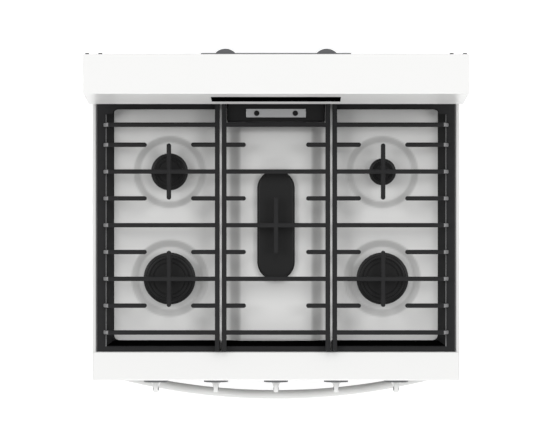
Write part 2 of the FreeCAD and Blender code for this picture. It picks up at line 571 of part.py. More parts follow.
def control_panel():
    """A folded fascia with five holes, its dark bezels, and the knobs on their valve stems."""
    low = "(deck_height - fascia_drop)"
    back = "-tray_front"
    section = [(back, "deck_height"), ("-front_reach", "deck_height"), ("-front_reach", low),
               ("flange - front_reach", low), ("flange - front_reach", low + " + steel"),
               ("steel - front_reach", low + " + steel"), ("steel - front_reach", "deck_height - steel"),
               (back + " - steel", "deck_height - steel"), (back + " - steel", "deck_height - flange"),
               (back, "deck_height - flange")]
    sheets = [profile("YZ", section, "-width / 2", "width / 2")]
    for x in (("-width / 2", "steel - width / 2"), ("width / 2 - steel", "width / 2")):
        sheets.append(block(x, ("-front_reach", "-cabinet_front"), (low, "deck_height")))
    holes = [rod("y", ("-front_reach - 5", "5 - front_reach"), (x, "knob_z"), "stem_radius + 2")
             for _, x, _ in KNOBS]
    keep(cut(join(*sheets), *holes), "control_panel")

    bezels = []
    valves = []
    fascia = "-front_reach"
    valve_front = "(valve_behind - front_reach)"
    for number, x, _ in KNOBS:
        bezels.append(cut(rod("y", (fascia + " - bezel_rise", fascia), (x, "knob_z"), "bezel_radius"),
                          rod("y", (fascia + " - 2 * bezel_rise", fascia + " + 1"), (x, "knob_z"),
                              "bezel_bore")))
        half = "valve_size / 2"
        casting = block((x + " - " + half, x + " + " + half), (valve_front, valve_front + " + valve_depth"),
                        ("knob_z - " + half, "knob_z + " + half))
        seat = rod("y", (valve_front + " - 1", valve_front + " + valve_depth - 5"), (x, "knob_z"),
                   "stem_radius + running")
        valves.append(cut(casting, seat))
        stem_tip = "(-front_reach - stem_reach)"
        stem = rod("y", (stem_tip, valve_front + " + valve_depth - 6"), (x, "knob_z"), "stem_radius")
        keep(stem, "valve_stem_" + number)
        knob_back = "(-front_reach - knob_standoff)"
        base = rod("y", (knob_back + " - knob_base_depth", knob_back), (x, "knob_z"), "knob_base")
        blade = block((x + " - blade_width / 2", x + " + blade_width / 2"),
                      ("-front_reach - knob_reach", knob_back + " - knob_base_depth / 2"),
                      ("knob_z - blade_length / 2", "knob_z + blade_length / 2"))
        hub = rod("y", ("-front_reach - stem_reach - knob_standoff - 3", knob_back), (x, "knob_z"),
                  "stem_radius + 4")
        socket = rod("y", ("-front_reach - stem_reach - knob_standoff", knob_back + " + 1"), (x, "knob_z"),
                     "stem_radius + running")
        trimmed = overlap(blade, rod("y", ("-front_reach - knob_reach - 1", knob_back), (x, "knob_z"),
                                     "blade_length / 2 - 1"))
        keep(cut(join(base, trimmed, hub), socket), "knob_" + number)
    keep(group(*bezels), "knob_bezels")
    keep(group(*valves), "gas_valves")

    pipe_y = valve_front + " + valve_depth + pipe_radius"
    keep(rod("x", ("-knob_outer - valve_size", "knob_outer + valve_size"), (pipe_y, "pipe_z"), "pipe_radius"),
         "manifold_pipe")

    tubes = []
    ends = {place: (x, y) for place, x, y, _ in BURNERS}
    ends["centre"] = ("0", OVAL_Y)
    for _, x, place in KNOBS:
        end_x, end_y = ends[place]
        start_y = valve_front + " + valve_depth"
        ring = doc.addObject("Part::Circle", "TubeRing")
        ring.Placement = FreeCAD.Placement(FreeCAD.Vector(), TURNS["y"])
        ring.setExpression("Radius", bound("tube_radius"))
        line = doc.addObject("Part::Line", "TubeLine")
        target = (end_x, end_y + " - neck_radius", "tube_z")
        for axis, begin, end in zip("XYZ", (x, start_y, "tube_z"), target):
            line.setExpression(axis + "1", bound(begin))
            line.setExpression(axis + "2", bound(end))
            ring.setExpression("Placement.Base." + axis.lower(), bound(begin))
        tube = doc.addObject("Part::Sweep", "Tube")
        tube.Sections = [ring]
        tube.Spine = (line, ["Edge1"])
        tube.Solid = True
        tubes.append(tube)
    keep(group(*tubes), "burner_tubes")


# --- Oven --------------------------------------------------------------------------------------

def oven():
    """An enamelled box with a front flange, wrapped on five sides, with its burners and fittings."""
    mouth = "-cabinet_front"
    top = "oven_top"
    shell = cut(block(("-oven_half - steel", "oven_half + steel"), (mouth, "oven_back + steel"),
                      ("oven_floor - steel", top + " + steel")),
                block(("-oven_half", "oven_half"), (mouth + " - 1", "oven_back"), ("oven_floor", top)))
    flange = cut(block(("flange - width / 2", "width / 2 - flange"), (mouth, mouth + " + steel"),
                       ("door_low", "deck_height - fascia_drop - gap")),
                 block(("-oven_half", "oven_half"), (mouth + " - 1", mouth + " + 3"), ("oven_floor", top)))
    keep(join(shell, flange), "oven_liner")

    wrap = block(("-oven_half - steel - wrap_thick", "oven_half + steel + wrap_thick"),
                 (mouth + " + steel", "oven_back + steel + wrap_thick"),
                 ("oven_floor", top + " + steel + wrap_thick"))
    core = block(("-oven_half - steel", "oven_half + steel"), (mouth, "oven_back + steel"),
                 ("oven_floor - 1", top + " + steel"))
    keep(cut(wrap, core), "oven_insulation")

    rails = []
    for level in ("lower_level", "upper_level"):
        rails.append(rod("y", ("-cabinet_front + 12", "rack_back + 8"), ("-guide_x", level), "guide_radius"))
    posts = []
    for y in ("30 - cabinet_front", "-30", "rack_back - 15"):
        posts.append(rod("z", ("lower_level - 25", "upper_level + 60"), ("-guide_post_x", y), "guide_radius"))
        for z in ("lower_level - 15", "upper_level + 50"):
            posts.append(rod("x", ("-oven_half", "-guide_post_x"), (y, z), "guide_radius"))
    ladder = join(*rails, *posts)
    keep(group(ladder, mirrored(ladder)), "rack_guides")

    for name, level in (("oven_rack_lower", "lower_level"), ("oven_rack_upper", "upper_level")):
        z = level + " + guide_radius + rack_rod + gap"
        wires = []
        for x in ("-rack_half", "rack_half"):
            wires.append(rod("y", ("-rack_front", "rack_back"), (x, z), "rack_rod"))
        for y in ("-rack_front", "-rack_front / 2 + rack_back / 2", "rack_back"):
            wires.append(rod("x", ("-rack_half", "rack_half"), (y, z), "rack_rod"))
        for number in range(-6, 7):
            wires.append(rod("y", ("-rack_front", "rack_back"), ("%d * wire_pitch" % number, z), "rack_wire"))
        keep(join(*wires), name)

    plate = block(("-broil_half", "broil_half"), ("-broil_front", "broil_back"),
                  (top + " - broil_gap - broil_thick", top + " - broil_gap"))
    hangers = [block(("-broil_half", "broil_half"), (y, y + " + 4"), (top + " - broil_gap", top))
               for y in ("20 - broil_front", "broil_back - 24")]
    keep(join(plate, *hangers), "broil_burner")

    z = "oven_floor - bake_drop"
    tubes = [rod("y", ("-broil_front", "broil_back"), (x, z), "bake_radius")
             for x in ("-bake_half", "bake_half")]
    tubes.append(rod("x", ("-bake_half", "bake_half"), ("broil_back", z), "bake_radius"))
    tubes.append(block(("-bake_half - 6", "bake_half + 6"), ("broil_back - 3", "broil_back + 3"),
                       (z, "oven_floor - steel")))
    keep(join(*tubes), "bake_burner")

    bulb = [("0", "0"), ("lamp_radius", "0"), ("lamp_radius", "lamp_reach * 0.35"),
            ("lamp_radius * 0.8", "lamp_reach * 0.8"), ("lamp_radius * 0.4", "lamp_reach"),
            ("0", "lamp_reach")]
    lamp = turned(bulb, "-lamp_x", "oven_back", "lamp_z")
    lamp.Placement = FreeCAD.Placement(lamp.Placement.Base, FreeCAD.Rotation(FreeCAD.Vector(1, 0, 0), 90))
    keep(lamp, "oven_lamp")
    collar = rod("y", ("oven_back - 4", "oven_back"), ("probe_x", "probe_z"), "probe_radius * 3")
    tip = rod("y", ("oven_back - probe_reach", "oven_back"), ("probe_x", "probe_z"), "probe_radius")
    keep(join(collar, tip), "temperature_probe")

    ring = cut(block(("-gasket_out", "gasket_out"), ("door_inner + gap", mouth),
                     ("oven_floor - gasket_out + oven_half", top + " + gasket_out - oven_half")),
               block(("-gasket_in", "gasket_in"), ("door_inner", mouth + " + 1"),
                     ("oven_floor - gasket_in + oven_half", top + " + gasket_in - oven_half")))
    keep(ring, "door_gasket")


# --- Door --------------------------------------------------------------------------------------

def hinge_slots(low, high):
    """Notches in the door's foot, where the hinge brackets enter."""
    return [block((x + " - slot_half", x + " + slot_half"), (low, high),
                  ("door_low - 1", "door_low + slot_rise"))
            for x in ("-hinge_x", "hinge_x")]


def oven_door():
    """A hollow door: white outer skin, enamelled inner panel with a plug, two panes and a handle."""
    front = "-front_reach"
    inner = "door_inner"
    back = inner + " + plug_depth - steel"
    skin = block(("-door_half", "door_half"), (front, inner + " - steel"), ("door_low", "door_high"))
    room = block(("steel - door_half", "door_half - steel"), (front + " + steel", inner),
                 ("door_low + steel", "door_high - steel"))
    view = block(("-window_half", "window_half"), (front + " - 1", front + " + 3"),
                 ("window_low", "window_high"))
    keep(cut(skin, room, view, *hinge_slots(front + " + steel", inner)), "door_panel")

    sheet_steel = block(("-door_half", "door_half"), (inner + " - steel", inner), ("door_low", "door_high"))
    plug = block(("-plug_half", "plug_half"), (inner, inner + " + plug_depth"), ("plug_low", "plug_high"))
    hollow = block(("steel - plug_half", "plug_half - steel"), (inner + " - 2 * steel", back),
                   ("plug_low + steel", "plug_high - steel"))
    view = block(("-window_half", "window_half"), (inner, inner + " + plug_depth + 1"),
                 ("window_low", "window_high"))
    slots = hinge_slots(inner + " - 2 * steel", inner + " + 1")
    keep(cut(join(sheet_steel, plug), hollow, view, *slots), "door_liner")

    lapped = (("-window_half - window_lap", "window_half + window_lap"),
              ("window_low - window_lap", "window_high + window_lap"))
    outer_pane = block(lapped[0], (front + " + steel", front + " + steel + pane"), lapped[1])
    inner_pane = block(lapped[0], (back + " - pane", back), lapped[1])
    keep(group(outer_pane, inner_pane), "door_glass")

    brackets = []
    arms = []
    for x in ("-hinge_x", "hinge_x"):
        sides = (x + " - bracket_wide / 2", x + " + bracket_wide / 2")
        strap = block(sides, ("hinge_y - bracket_high / 2", "-cabinet_front"),
                      ("hinge_z - bracket_high / 2", "hinge_z + bracket_high / 2"))
        reach = "bracket_wide / 2 + gap + arm_thick"
        pin = rod("x", (x + " - (" + reach + ")", x + " + " + reach), ("hinge_y", "hinge_z"), "pin_radius")
        brackets.append(join(strap, pin))
        for low, high in ((x + " - (" + reach + ")", x + " - bracket_wide / 2 - gap"),
                          (x + " + bracket_wide / 2 + gap", x + " + " + reach)):
            arm = block((low, high), ("hinge_y - hinge_back + steel", inner + " - steel"),
                        ("hinge_z - hinge_up + steel", "hinge_z + arm_rise"))
            eye = rod("x", (low + " - 1", high + " + 1"), ("hinge_y", "hinge_z"), "pin_radius + running")
            arms.append(cut(arm, eye))
    keep(group(*brackets), "hinge_brackets")
    keep(group(*arms), "hinge_arms")

    centre_y = "(handle_bow - front_reach - handle_reach)"
    band = ("door_high - handle_drop - handle_high", "door_high - handle_drop")
    outer_round = rod("z", band, ("0", centre_y), "handle_bow")
    inner_round = rod("z", ("door_high - handle_drop - handle_high - 1", "door_high - handle_drop + 1"),
                      ("0", centre_y), "handle_bow - handle_deep")
    ahead = block(("-door_half", "door_half"), ("-front_reach - handle_reach - 1", front), band)
    keep(cut(overlap(outer_round, ahead), inner_round), "door_handle")


# --- Drawer ------------------------------------------------------------------------------------

def storage_drawer():
    """A folded drawer front, an open tub with a runner down each side, and the glides it runs in."""
    front = cut(block(("-door_half", "door_half"), ("-front_reach", "drawer_thick - front_reach"),
                      ("drawer_low", "drawer_high")),
                block(("steel - door_half", "door_half - steel"), ("steel - front_reach", "drawer_thick"),
                      ("drawer_low + steel", "drawer_high - steel")))
    keep(front, "drawer_front")

    tub_front = "drawer_thick - front_reach"
    tub = cut(block(("-tub_half", "tub_half"), (tub_front, "tub_back"), ("tub_low", "tub_high")),
              block(("steel - tub_half", "tub_half - steel"), (tub_front + " + steel", "tub_back - steel"),
                    ("tub_low + steel", "tub_high + 1")))
    middle = "(glide_low + glide_high) / 2"
    half = "(glide_high - glide_low) / 2"
    runner = block(("-tub_half - runner_out", "-tub_half"), (tub_front + " + 40", "tub_back"),
                   (middle + " - " + half + " + glide_wall + slide_play",
                    middle + " + " + half + " - glide_wall - slide_play"))
    keep(join(tub, runner, mirrored(runner)), "drawer_tub")

    rail = cut(block(("-tub_half - slide_play - glide_deep", "-tub_half - slide_play"),
                     ("flange - cabinet_front", "tub_back + 30"), ("glide_low", "glide_high")),
               block(("-tub_half - runner_out - slide_play", "-tub_half"), ("-front_reach", "back_reach"),
                     ("glide_low + glide_wall", "glide_high - glide_wall")))
    stays = [block(("steel - width / 2", "-tub_half - slide_play - glide_deep"), (y, y + " + 20"),
                   ("glide_low", "glide_high")) for y in ("40 - cabinet_front", "tub_back - 20")]
    glide = join(rail, *stays)
    keep(group(glide, mirrored(glide)), "drawer_glides")


def gas_inlet():
    """A pressure regulator under the back of the oven, with its inlet nipple facing backwards."""
    back = "(cabinet_back - steel)"
    casting = rod("y", (back + " - inlet_reach - regulator_depth", back + " - inlet_reach"),
                  ("inlet_x", "inlet_z"), "regulator_half")
    nipple = rod("y", (back + " - inlet_reach", back), ("inlet_x", "inlet_z"), "inlet_radius")
    foot = block(("inlet_x - regulator_half / 2", "inlet_x + regulator_half / 2"),
                 (back + " - inlet_reach - regulator_depth", back + " - inlet_reach"),
                 ("leg_lift + frame_rise", "inlet_z"))
    keep(join(casting, nipple, foot), "gas_regulator")


cabinet()
cooktop()
backguard()
burners()
grates()
control_panel()
oven()
oven_door()
storage_drawer()
gas_inlet()
doc.recompute()

for item in doc.Objects:
    faults = {"Invalid", "Error"} & set(item.State)
    if faults:
        raise RuntimeError("%s (%s) is %s" % (item.Label, item.TypeId, ", ".join(sorted(faults))))
for piece in KEPT:
    if piece.Shape.isNull() or not piece.Shape.isValid() or not piece.Shape.Solids:
        raise RuntimeError(piece.Label + " has no valid solid")
for piece in KEPT:
    piece.Shape.exportStep("parts/" + piece.Label + ".step")
print(len(KEPT), "pieces")
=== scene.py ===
import math

import bmesh
import bpy
from mathutils import Matrix, Vector


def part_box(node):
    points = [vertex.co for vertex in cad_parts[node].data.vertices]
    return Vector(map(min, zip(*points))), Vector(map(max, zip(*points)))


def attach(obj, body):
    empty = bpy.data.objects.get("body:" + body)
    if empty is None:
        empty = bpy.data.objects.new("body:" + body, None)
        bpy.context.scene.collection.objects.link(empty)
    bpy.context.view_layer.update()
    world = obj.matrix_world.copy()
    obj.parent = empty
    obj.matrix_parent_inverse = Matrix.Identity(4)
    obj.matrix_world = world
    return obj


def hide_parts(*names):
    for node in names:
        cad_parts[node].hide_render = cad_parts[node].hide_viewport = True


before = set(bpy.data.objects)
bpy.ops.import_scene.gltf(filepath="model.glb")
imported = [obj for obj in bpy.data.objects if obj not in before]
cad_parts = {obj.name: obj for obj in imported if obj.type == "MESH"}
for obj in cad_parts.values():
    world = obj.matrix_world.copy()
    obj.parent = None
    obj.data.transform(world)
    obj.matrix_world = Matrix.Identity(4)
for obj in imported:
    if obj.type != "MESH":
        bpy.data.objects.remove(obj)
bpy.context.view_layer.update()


# ---- Studio: floor, camera and light --------------------------------------------------------------
# The range stands on a plain white floor that glows faintly, like a lit product table. The camera hangs
# over the cooktop and looks straight down through a long lens, between four soft panel lights.

CAMERA_HEIGHT = 6.41
CAMERA_BACK = 0.013
LENS_MM = 173.2
FLOOR_COLOUR = "#FFFFFF"
FLOOR_REACH = 9.0
FLOOR_GLOW = 0.2
ROOM_GLOW = 0.54
AIM = (0.0, 0.0, 0.85)
# Each lamp's name, place, size and power; all of them face AIM.
PANELS = (("left_panel", (-2.7, 0.7, 4.8), 2.0, 56.0), ("right_panel", (2.7, 0.7, 4.8), 2.0, 56.0),
          ("front_panel", (0.0, -4.2, 2.2), 2.4, 76.0), ("rear_panel", (0.0, 2.6, 5.0), 1.8, 34.0))
BROAD = 0.006
CREASE = math.radians(32)


def linear(text):
    """An sRGB hex colour as the linear numbers that a shader takes."""
    parts = [int(text[place:place + 2], 16) / 255 for place in (1, 3, 5)]
    return [part / 12.92 if part <= 0.04045 else ((part + 0.055) / 1.055) ** 2.4 for part in parts] + [1.0]


def add(tree, kind, settings=None, links=None):
    """Add a node: settings fill its properties and sockets, links join sockets to other nodes' outputs."""
    node = tree.nodes.new(kind)
    for name, value in (settings or {}).items():
        if isinstance(name, str) and name.islower():
            setattr(node, name, value)
        else:
            node.inputs[name].default_value = value
    for name, source in (links or {}).items():
        tree.links.new(source, node.inputs[name])
    return node


def new_material(name):
    """A new material with its empty tree and the output that gives the place on the piece."""
    material = bpy.data.materials.new(name)
    material.use_nodes = True
    tree = material.node_tree
    tree.nodes.clear()
    return material, tree, add(tree, "ShaderNodeTexCoord").outputs["Object"]


def surfaced(material, settings, links):
    """Close a material with one Principled shader that has these settings and takes these links."""
    shader = add(material.node_tree, "ShaderNodeBsdfPrincipled", settings, links)
    add(material.node_tree, "ShaderNodeOutputMaterial", {}, {"Surface": shader.outputs["BSDF"]})
    return material


def grained(name, settings, size, strength, depth, detail=2.0, tones=()):
    """A material with one grain of the given size in metres, which stands in relief and may mix two tones."""
    material, tree, place = new_material(name)
    grain = add(tree, "ShaderNodeTexNoise", {"Scale": 1 / size, "Detail": detail}, {"Vector": place})
    relief = add(tree, "ShaderNodeBump", {"Strength": strength, "Distance": depth},
                 {"Height": grain.outputs[0]})
    links = {"Normal": relief.outputs[0]}
    if tones:
        tone = add(tree, "ShaderNodeMix", {"data_type": "RGBA", 6: linear(tones[0]), 7: linear(tones[1])},
                   {0: grain.outputs[0]})
        links["Base Color"] = tone.outputs[2]
    return surfaced(material, settings, links)


def floor_vinyl():
    """Matt studio vinyl: even and white, with a faint emboss that never shows as a pattern."""
    white = linear(FLOOR_COLOUR)
    return grained("studio_vinyl", {"Base Color": white, "Roughness": 0.9, "Specular IOR Level": 0.1,
                                    "Emission Color": white, "Emission Strength": FLOOR_GLOW},
                   size=0.0025, strength=0.05, depth=0.0002)


def build(name, shape, material):
    """Turn a bmesh into an object at the origin with one material: broad faces flat, narrow ones smooth."""
    for face in shape.faces:
        face.smooth = face.calc_area() < BROAD * max(edge.calc_length() for edge in face.edges)
    bmesh.ops.triangulate(shape, faces=[face for face in shape.faces if len(face.verts) > 4])
    mesh = bpy.data.meshes.new(name)
    shape.to_mesh(mesh)
    shape.free()
    if mesh.has_custom_normals:
        mesh.attributes.remove(mesh.attributes["custom_normal"])
    mesh.materials.append(material)
    narrow = [face.use_smooth for face in mesh.polygons]
    mesh.set_sharp_from_angle(angle=CREASE)
    mesh.polygons.foreach_set("use_smooth", narrow)
    piece = bpy.data.objects.new(name, mesh)
    bpy.context.scene.collection.objects.link(piece)
    return piece


def stage_light(name, place, size, watts):
    """A square panel light that faces the range."""
    lamp = bpy.data.lights.new(name, "AREA")
    lamp.size = size
    lamp.energy = watts
    holder = bpy.data.objects.new(name, lamp)
    holder.location = place
    holder.rotation_euler = (Vector(AIM) - Vector(place)).to_track_quat("-Z", "Y").to_euler()
    bpy.context.scene.collection.objects.link(holder)


shape = bmesh.new()
bmesh.ops.create_grid(shape, x_segments=1, y_segments=1, size=FLOOR_REACH)
build("studio_floor", shape, floor_vinyl())

lens = bpy.data.cameras.new("camera")
lens.lens = LENS_MM
lens.sensor_width = 36.0
lens.clip_end = 60.0
camera = bpy.data.objects.new("camera", lens)
camera.location = (0.0, CAMERA_BACK, CAMERA_HEIGHT)
bpy.context.scene.collection.objects.link(camera)
bpy.context.scene.camera = camera

world = bpy.data.worlds.new("studio")
world.use_nodes = True
world.node_tree.nodes["Background"].inputs["Color"].default_value = (1.0, 1.0, 1.0, 1.0)
world.node_tree.nodes["Background"].inputs["Strength"].default_value = ROOM_GLOW
bpy.context.scene.world = world
bpy.context.scene.view_settings.view_transform = "Standard"
for name, place, size, watts in PANELS:
    stage_light(name, place, size, watts)


# ---- Levelling legs and base frame ----------------------------------------------------------------
# Four turned steel feet screw into weld nuts in a folded channel frame that carries the cabinet.
# The frame is galvanised sheet, so it shows the large, faint crystals of hot-dip zinc.

CORNERS = ("left_front", "left_rear", "right_rear", "right_front")
ZINC = "#A9ABAC"
ZINC_DARK = "#8E9193"
SPANGLE = 0.014
THREAD_PITCH = 0.0015
# A wave texture of scale 1 repeats after this length, in metres.
WAVE = 2 * math.pi / 20
WELD = 0.00002
FLAT = math.radians(0.6)


def galvanised_sheet():
    """Hot-dip galvanised steel: crystals about 14 mm across, each a slightly different grey and gloss."""
    material, tree, place = new_material("galvanised_sheet")
    crystals = add(tree, "ShaderNodeTexVoronoi", {"Scale": 1 / SPANGLE}, {"Vector": place})
    tone = add(tree, "ShaderNodeMix", {"data_type": "RGBA", 6: linear(ZINC_DARK), 7: linear(ZINC)},
               {0: crystals.outputs["Color"]})
    gloss = add(tree, "ShaderNodeMapRange", {"To Min": 0.34, "To Max": 0.52},
                {"Value": crystals.outputs["Color"]})
    scratch = add(tree, "ShaderNodeTexNoise", {"Scale": 600.0, "Detail": 3.0}, {"Vector": place})
    relief = add(tree, "ShaderNodeBump", {"Strength": 0.08, "Distance": 0.0002},
                 {"Height": scratch.outputs[0]})
    return surfaced(material, {"Metallic": 1.0}, {"Base Color": tone.outputs[2],
                                                  "Roughness": gloss.outputs[0],
                                                  "Normal": relief.outputs[0]})


def turned_steel():
    """Zinc-plated turned steel: fine tool marks round the upright axis, a thread's pitch apart."""
    material, tree, place = new_material("turned_steel")
    rings = add(tree, "ShaderNodeTexWave", {"bands_direction": "Z", "Scale": WAVE / THREAD_PITCH},
                {"Vector": place})
    relief = add(tree, "ShaderNodeBump", {"Strength": 0.5, "Distance": 0.0004}, {"Height": rings.outputs[1]})
    return surfaced(material, {"Base Color": linear("#B4B3AE"), "Metallic": 1.0, "Roughness": 0.32},
                    {"Normal": relief.outputs[0]})


def dress(material, *names):
    """Give a finish to pieces whose shape comes from the frame unchanged."""
    for name in names:
        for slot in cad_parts[name].material_slots:
            slot.material = material


def merged(node):
    """A clean copy of a piece's solid: loose triangles joined, flat faces whole again."""
    copy = bmesh.new()
    copy.from_mesh(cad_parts[node].data)
    bmesh.ops.remove_doubles(copy, verts=copy.verts, dist=WELD)
    bmesh.ops.dissolve_limit(copy, angle_limit=FLAT, verts=copy.verts, edges=copy.edges)
    return copy


ZINC_SHEET = galvanised_sheet()
dress(ZINC_SHEET, "base_frame", "back_panel", "drawer_glides", "hinge_brackets", "hinge_arms")
TURNED_STEEL = turned_steel()
dress(TURNED_STEEL, *["levelling_leg_" + place for place in CORNERS])


# ---- Cabinet: side panels -------------------------------------------------------------------------
# Two folded side panels in white powder coat stand on the frame. Their long front and rear edges are
# turned in, so each edge shows a small, even radius.

WHITE = "#E9E9E8"
PEEL = 0.004
FOLD_RADIUS = 0.0018


def powder_coat():
    """White powder coat on steel, sprayed and baked: even gloss over an orange peel about 4 mm across."""
    material, tree, place = new_material("powder_coat_white")
    peel = add(tree, "ShaderNodeTexNoise", {"Scale": 1 / PEEL}, {"Vector": place})
    relief = add(tree, "ShaderNodeBump", {"Strength": 0.10, "Distance": 0.0001}, {"Height": peel.outputs[0]})
    wear = add(tree, "ShaderNodeTexNoise", {"Scale": 9.0, "Detail": 4.0}, {"Vector": place})
    gloss = add(tree, "ShaderNodeMapRange", {"To Min": 0.26, "To Max": 0.36}, {"Value": wear.outputs[0]})
    return surfaced(material, {"Base Color": linear(WHITE), "Coat Weight": 0.25, "Coat Roughness": 0.12},
                    {"Normal": relief.outputs[0], "Roughness": gloss.outputs[0]})


def eased(node, radius, planes):
    """A piece's solid with the edges rounded where two of its outer planes meet, such as "x-" and "z+"."""
    copy = merged(node)
    low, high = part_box(node)
    limits = {"x-": (0, low.x), "x+": (0, high.x), "y-": (1, low.y), "y+": (1, high.y),
              "z-": (2, low.z), "z+": (2, high.z)}

    def on_corner(edge):
        """Whether both ends of an edge lie on two of the planes."""
        shared = 0
        for plane in planes:
            axis, value = limits[plane]
            shared += all(abs(vert.co[axis] - value) < 0.00005 for vert in edge.verts)
        return shared >= 2

    edges = [edge for edge in copy.edges if on_corner(edge)]
    bmesh.ops.bevel(copy, geom=edges, offset=radius, offset_type="OFFSET", segments=3, profile=0.5,
                    affect="EDGES", clamp_overlap=False)
    bmesh.ops.recalc_face_normals(copy, faces=copy.faces)
    return copy


def mount(piece, body, slot, *nodes):
    """Let a finished piece ride on its body and stand for its nodes. The slot is not used."""
    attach(piece, body)
    if nodes:
        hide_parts(*nodes)
    return piece


POWDER_COAT = powder_coat()
panels = build("side_panels_folded", eased("side_panels", FOLD_RADIUS, ("x-", "x+", "y-", "y+")), POWDER_COAT)
mount(panels, "range", "white_paint", "side_panels")


# ---- Gas inlet, regulator, manifold and valves ----------------------------------------------------
# Gas enters at the back through a die-cast regulator, runs along a black steel manifold and through
# five turned brass valves. A thin aluminium tube leads from each valve to its burner.

BRASS = "#C9A45C"
CUT_PITCH = 0.00105


def machined_brass():
    """Machined brass: warm metal with concentric cuts about 1 mm apart round the stem's axis."""
    material, tree, place = new_material("machined_brass")
    cuts = add(tree, "ShaderNodeTexWave", {"bands_direction": "Y", "Scale": WAVE / CUT_PITCH},
               {"Vector": place})
    relief = add(tree, "ShaderNodeBump", {"Strength": 0.2, "Distance": 0.0002}, {"Height": cuts.outputs[1]})
    return surfaced(material, {"Base Color": linear(BRASS), "Metallic": 1.0, "Roughness": 0.28},
                    {"Normal": relief.outputs[0]})


def cast_aluminium():
    """Die-cast aluminium: a dull bright skin with a sandy grain of about 1 mm."""
    return grained("cast_aluminium", {"Base Color": linear("#B9BBBD"), "Metallic": 1.0, "Roughness": 0.48},
                   size=0.001, detail=3.0, strength=0.35, depth=0.0003)


def black_pipe():
    """Black iron gas pipe: oily mill scale, slightly blotched."""
    material, tree, place = new_material("black_iron_pipe")
    blotch = add(tree, "ShaderNodeTexNoise", {"Scale": 60.0, "Detail": 5.0}, {"Vector": place})
    tone = add(tree, "ShaderNodeMix", {"data_type": "RGBA", 6: linear("#1B1B1C"), 7: linear("#333230")},
               {0: blotch.outputs[0]})
    return surfaced(material, {"Roughness": 0.5, "Metallic": 0.4}, {"Base Color": tone.outputs[2]})


CAST_SKIN = cast_aluminium()
dress(machined_brass(), "gas_valves")
dress(CAST_SKIN, "gas_regulator", "burner_tubes")
dress(black_pipe(), "manifold_pipe")


# ---- Oven box, insulation and fittings ------------------------------------------------------------
# The oven is a welded box in dark speckled porcelain enamel, wrapped in mineral wool. Chromed wire
# ladders hold two wire racks; a gas burner lies under the floor and another hangs from the roof.

ENAMEL_DARK = "#22252B"
ENAMEL_FLECK = "#8C93A0"
FLECK = 0.0035
BRAID = 0.0022


def speckled_enamel():
    """Oven porcelain: blue-black glass with pale flecks a few millimetres apart."""
    material, tree, place = new_material("speckled_oven_enamel")
    dots = add(tree, "ShaderNodeTexVoronoi", {"Scale": 1 / FLECK}, {"Vector": place})
    mask = add(tree, "ShaderNodeMapRange", {"From Min": 0.12, "From Max": 0.2, "To Min": 1.0, "To Max": 0.0},
               {"Value": dots.outputs["Distance"]})
    tone = add(tree, "ShaderNodeMix", {"data_type": "RGBA", 6: linear(ENAMEL_DARK), 7: linear(ENAMEL_FLECK)},
               {0: mask.outputs[0]})
    flow = add(tree, "ShaderNodeTexNoise", {"Scale": 90.0}, {"Vector": place})
    relief = add(tree, "ShaderNodeBump", {"Strength": 0.12, "Distance": 0.0003}, {"Height": flow.outputs[0]})
    return surfaced(material, {"Roughness": 0.16, "Coat Weight": 0.3},
                    {"Base Color": tone.outputs[2], "Normal": relief.outputs[0]})


def chromed_wire():
    """Chrome-plated steel wire: bright, with the faint drag marks of drawing."""
    material, tree, place = new_material("chromed_wire")
    drag = add(tree, "ShaderNodeTexNoise", {"Scale": 350.0}, {"Vector": place})
    gloss = add(tree, "ShaderNodeMapRange", {"To Min": 0.08, "To Max": 0.24}, {"Value": drag.outputs[0]})
    return surfaced(material, {"Base Color": linear("#D3D4D6"), "Metallic": 1.0},
                    {"Roughness": gloss.outputs[0]})


def mineral_wool():
    """Mineral wool blanket: matted yellow-grey fibres."""
    material, tree, place = new_material("mineral_wool")
    mat = add(tree, "ShaderNodeTexNoise", {"Scale": 140.0, "Detail": 8.0, "Distortion": 1.5},
              {"Vector": place})
    tone = add(tree, "ShaderNodeMix", {"data_type": "RGBA", 6: linear("#A99A6B"), 7: linear("#DCD2AC")},
               {0: mat.outputs[0]})
    relief = add(tree, "ShaderNodeBump", {"Strength": 0.8, "Distance": 0.002}, {"Height": mat.outputs[0]})
    return surfaced(material, {"Roughness": 1.0, "Sheen Weight": 0.3},
                    {"Base Color": tone.outputs[2], "Normal": relief.outputs[0]})


def glass_braid():
    """Braided fibreglass rope seal: grey yarns about 2 mm wide, crossing at a slant."""
    material, tree, place = new_material("fibreglass_braid")
    slant = add(tree, "ShaderNodeTexWave", {"bands_direction": "DIAGONAL", "Scale": WAVE / BRAID},
                {"Vector": place})
    flip = add(tree, "ShaderNodeMapping", {"Scale": (-1.0, 1.0, 1.0)}, {"Vector": place})
    other = add(tree, "ShaderNodeTexWave", {"bands_direction": "DIAGONAL", "Scale": WAVE / BRAID},
                {"Vector": flip.outputs[0]})
    weave = add(tree, "ShaderNodeMath", {"operation": "MULTIPLY"}, {0: slant.outputs[1], 1: other.outputs[1]})
    tone = add(tree, "ShaderNodeMix", {"data_type": "RGBA", 6: linear("#3A3A3A"), 7: linear("#8A8884")},
               {0: weave.outputs[0]})
    relief = add(tree, "ShaderNodeBump", {"Strength": 0.8, "Distance": 0.0008}, {"Height": weave.outputs[0]})
    return surfaced(material, {"Roughness": 0.85},
                    {"Base Color": tone.outputs[2], "Normal": relief.outputs[0]})


def frosted_lamp():
    """Pressed borosilicate lamp glass: clear with a light frost inside."""
    return grained("lamp_glass", {"Base Color": linear("#F2EFE2"), "Roughness": 0.25, "IOR": 1.47,
                                  "Transmission Weight": 0.8},
                   size=0.002, strength=0.3, depth=0.0003)


